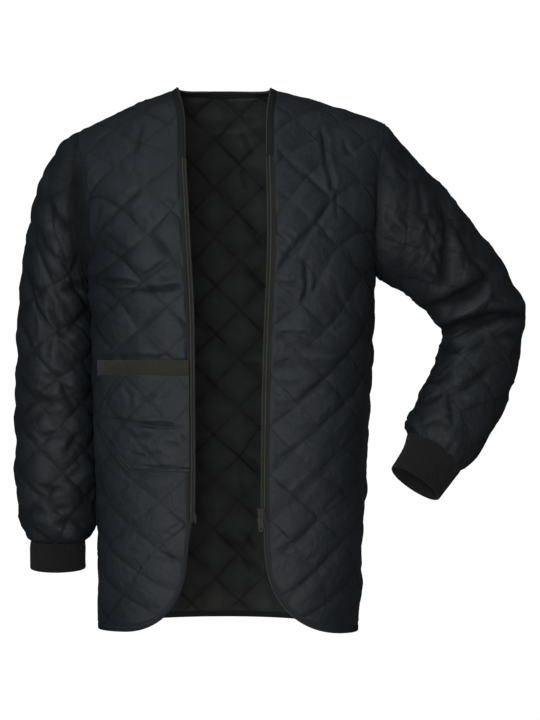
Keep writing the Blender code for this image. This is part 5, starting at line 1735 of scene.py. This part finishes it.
def one_tooth():
    """A zip tooth lying along X: a short bar with a rounded head and a narrower neck."""
    bpy.ops.object.select_all(action="DESELECT")
    bpy.ops.mesh.primitive_cube_add(size=1.0)
    tooth = bpy.context.active_object
    bpy.ops.object.mode_set(mode="EDIT")
    bpy.ops.mesh.select_all(action="SELECT")
    bpy.ops.transform.resize(value=TOOTH)
    bpy.ops.mesh.bevel(offset=TOOTH_BEVEL, segments=1, affect="EDGES")
    bpy.ops.object.mode_set(mode="OBJECT")
    for vertex in tooth.data.vertices:
        if vertex.co.x < -TOOTH[0] * 0.25:
            vertex.co.z *= TOOTH_NECK
    points = np.array([vertex.co for vertex in tooth.data.vertices])
    faces = [list(polygon.vertices) for polygon in tooth.data.polygons]
    bpy.data.objects.remove(tooth)
    return points, faces


tooth_points, tooth_faces = one_tooth()
section = np.array(ZIP_TAPE) + (0.0, TAPE_OUT)
wide = float(np.ptp(section[:, 0]))
for side in (RIGHT, LEFT):
    form, inward = fronts[side]
    bottom, top = zip_ends[side]
    line, line_in = ease_path(form[bottom:top + 1, 0], inward[bottom:top + 1, 0], PATH_STEP)
    name = "zip_tape_" + SIDE_NAME[side]
    materials = [zip_tape, zip_cord]
    piece, length = swept_strip(
        "woven_" + name, line, line_in, side, section, materials, ZIP_UNEVEN, 130, tape_cloths,
    )
    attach(piece, "jacket")
    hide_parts(name)
    spots, spots_in = ease_path(line[3:-2], line_in[3:-2], TOOTH_PITCH)
    ahead = unit(np.gradient(spots, axis=0))
    off = unit(np.cross(ahead, spots_in)) * side
    middle = spots + off * TOOTH_OVER - spots_in * TOOTH_OUT
    ways = np.stack([off, -spots_in, ahead], axis=1)  # a tooth's own X, Y and Z
    teeth = middle[:, None] + tooth_points[None] @ ways
    if side == LEFT:
        low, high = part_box("zip_slider")
        teeth = teeth[(spots[:, 2] < low.z - SLIDER_CLEAR) | (spots[:, 2] > high.z + SLIDER_CLEAR)]
    faces = [[corner + index * len(tooth_points) for corner in face]
             for index in range(len(teeth)) for face in tooth_faces]
    row = add_piece("zip_teeth_" + SIDE_NAME[side], teeth, faces, [tooth_nylon])
    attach(row, "jacket")

# The slider, its pull, the box and the pin keep their solids and get a finish.
dark_metal, sockets, nodes = new_finish("dark painted metal", 0.55, 0.30)
paint = nodes.noise(nodes.add("TexCoord").outputs["Object"], 240.0, 6.0, 0.7)
worn = nodes.ramp(nodes.add("NewGeometry").outputs["Pointiness"], 0.49, 0.56)
worn = nodes.maths("MULTIPLY", worn, nodes.maths("ADD", paint, 0.15))
colour = nodes.tint(worn, (0.010, 0.011, 0.010), (0.030, 0.030, 0.028))
rough = nodes.ramp(paint, 0.3, 0.7, 0.48, 0.64)
link_finish(dark_metal, sockets, colour, nodes.weighed((paint, 0.00012)), rough)
for name, finish in (("zip_slider", dark_metal), ("zip_pull", dark_metal),
                     ("zip_box", box_plastic), ("zip_pin", box_plastic)):
    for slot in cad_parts[name].material_slots:
        slot.material = finish


# ---- The floor, the light and the camera
# A plain white studio, whose floor and round wall show but give the cloth no light. Soft square
# lamps do: a cool one from high on the viewer's left, a broad one from the front, two low ones that
# warm the skirt, and others above, at the side and behind.


def studio_white(name, brightness):
    """A white that glows by itself, so that it stays even and has no shadow."""
    material = bpy.data.materials.new(name)
    material.use_nodes = True
    tree = material.node_tree
    tree.nodes.clear()
    glow = tree.nodes.new("ShaderNodeEmission")
    glow.inputs["Color"].default_value = (1.0, 1.0, 1.0, 1.0)
    glow.inputs["Strength"].default_value = brightness
    out = tree.nodes.new("ShaderNodeOutputMaterial")
    tree.links.new(glow.outputs[0], out.inputs["Surface"])
    return material


STUDIO_RADIUS, STUDIO_SIDES = 13.0, 48
FLOOR_Z, CEILING_Z = -1.35, 9.0

white = studio_white("studio white", 1.05)
bpy.ops.mesh.primitive_circle_add(
    vertices=STUDIO_SIDES, radius=STUDIO_RADIUS, fill_type="NGON", location=(0.0, 0.0, FLOOR_Z)
)
floor = bpy.context.active_object
bpy.ops.mesh.primitive_cylinder_add(
    vertices=STUDIO_SIDES, radius=STUDIO_RADIUS, depth=CEILING_Z - FLOOR_Z,
    end_fill_type="NOTHING", location=(0.0, 0.0, (FLOOR_Z + CEILING_Z) / 2)
)
wall = bpy.context.active_object
for name, backdrop in (("studio_floor", floor), ("studio_wall", wall)):
    backdrop.name = name
    backdrop.data.materials.append(white)
    backdrop.visible_diffuse = False
    backdrop.visible_glossy = False

world = bpy.data.worlds.new("studio air")
world.use_nodes = True
background = world.node_tree.nodes["Background"]
background.inputs["Color"].default_value = (0.92, 0.96, 1.0, 1.0)
background.inputs["Strength"].default_value = 0.06
bpy.context.scene.world = world

WAIST = (0.0, 0.0, -0.42)
PLAIN = (1.0, 1.0, 1.0)

# Each lamp's place, what it points at, its width, power and colour, and whether it gives a shine.
for name, place, aim, width, power, colour, shines in (
    ("key", (-1.5, -3.6, 1.2), WAIST, 1.0, 30.0, (0.85, 0.96, 1.0), True),
    ("front", (-0.10, -4.7, -1.1), (0.0, 0.0, -0.67), 1.2, 72.0, (1.0, 0.975, 0.945), True),
    ("low", (-1.7, -3.7, -1.25), (-0.15, -0.1, -0.76), 0.8, 34.0, (1.0, 0.93, 0.94), True),
    ("warm", (1.5, -2.9, -1.15), (0.20, -0.1, -0.78), 0.6, 9.0, (1.0, 0.76, 0.70), True),
    ("top", (-0.3, -0.9, 2.9), (0.0, 0.0, -0.20), 1.0, 16.0, PLAIN, True),
    ("side", (3.0, 3.2, 0.9), WAIST, 1.2, 18.0, PLAIN, False),
    ("back", (-1.0, 4.6, 1.2), WAIST, 1.4, 55.0, PLAIN, False),
):
    lamp = bpy.data.lights.new(name, "AREA")
    lamp.shape, lamp.size, lamp.size_y = "RECTANGLE", width, width
    lamp.energy, lamp.color = power, colour
    light = bpy.data.objects.new(name, lamp)
    light.location = place
    light.rotation_euler = (Vector(aim) - Vector(place)).to_track_quat("-Z", "Y").to_euler()
    light.visible_glossy = shines
    bpy.context.scene.collection.objects.link(light)

camera = bpy.data.objects.new("camera", bpy.data.cameras.new("camera"))
camera.location = (0.068, -4.75, -0.42)
camera.rotation_euler = (np.pi / 2, 0.0, 0.0)
camera.data.sensor_width = 36.0
camera.data.lens = 153.2
bpy.context.scene.collection.objects.link(camera)
bpy.context.scene.camera = camera
bpy.context.scene.view_settings.view_transform = "Standard"
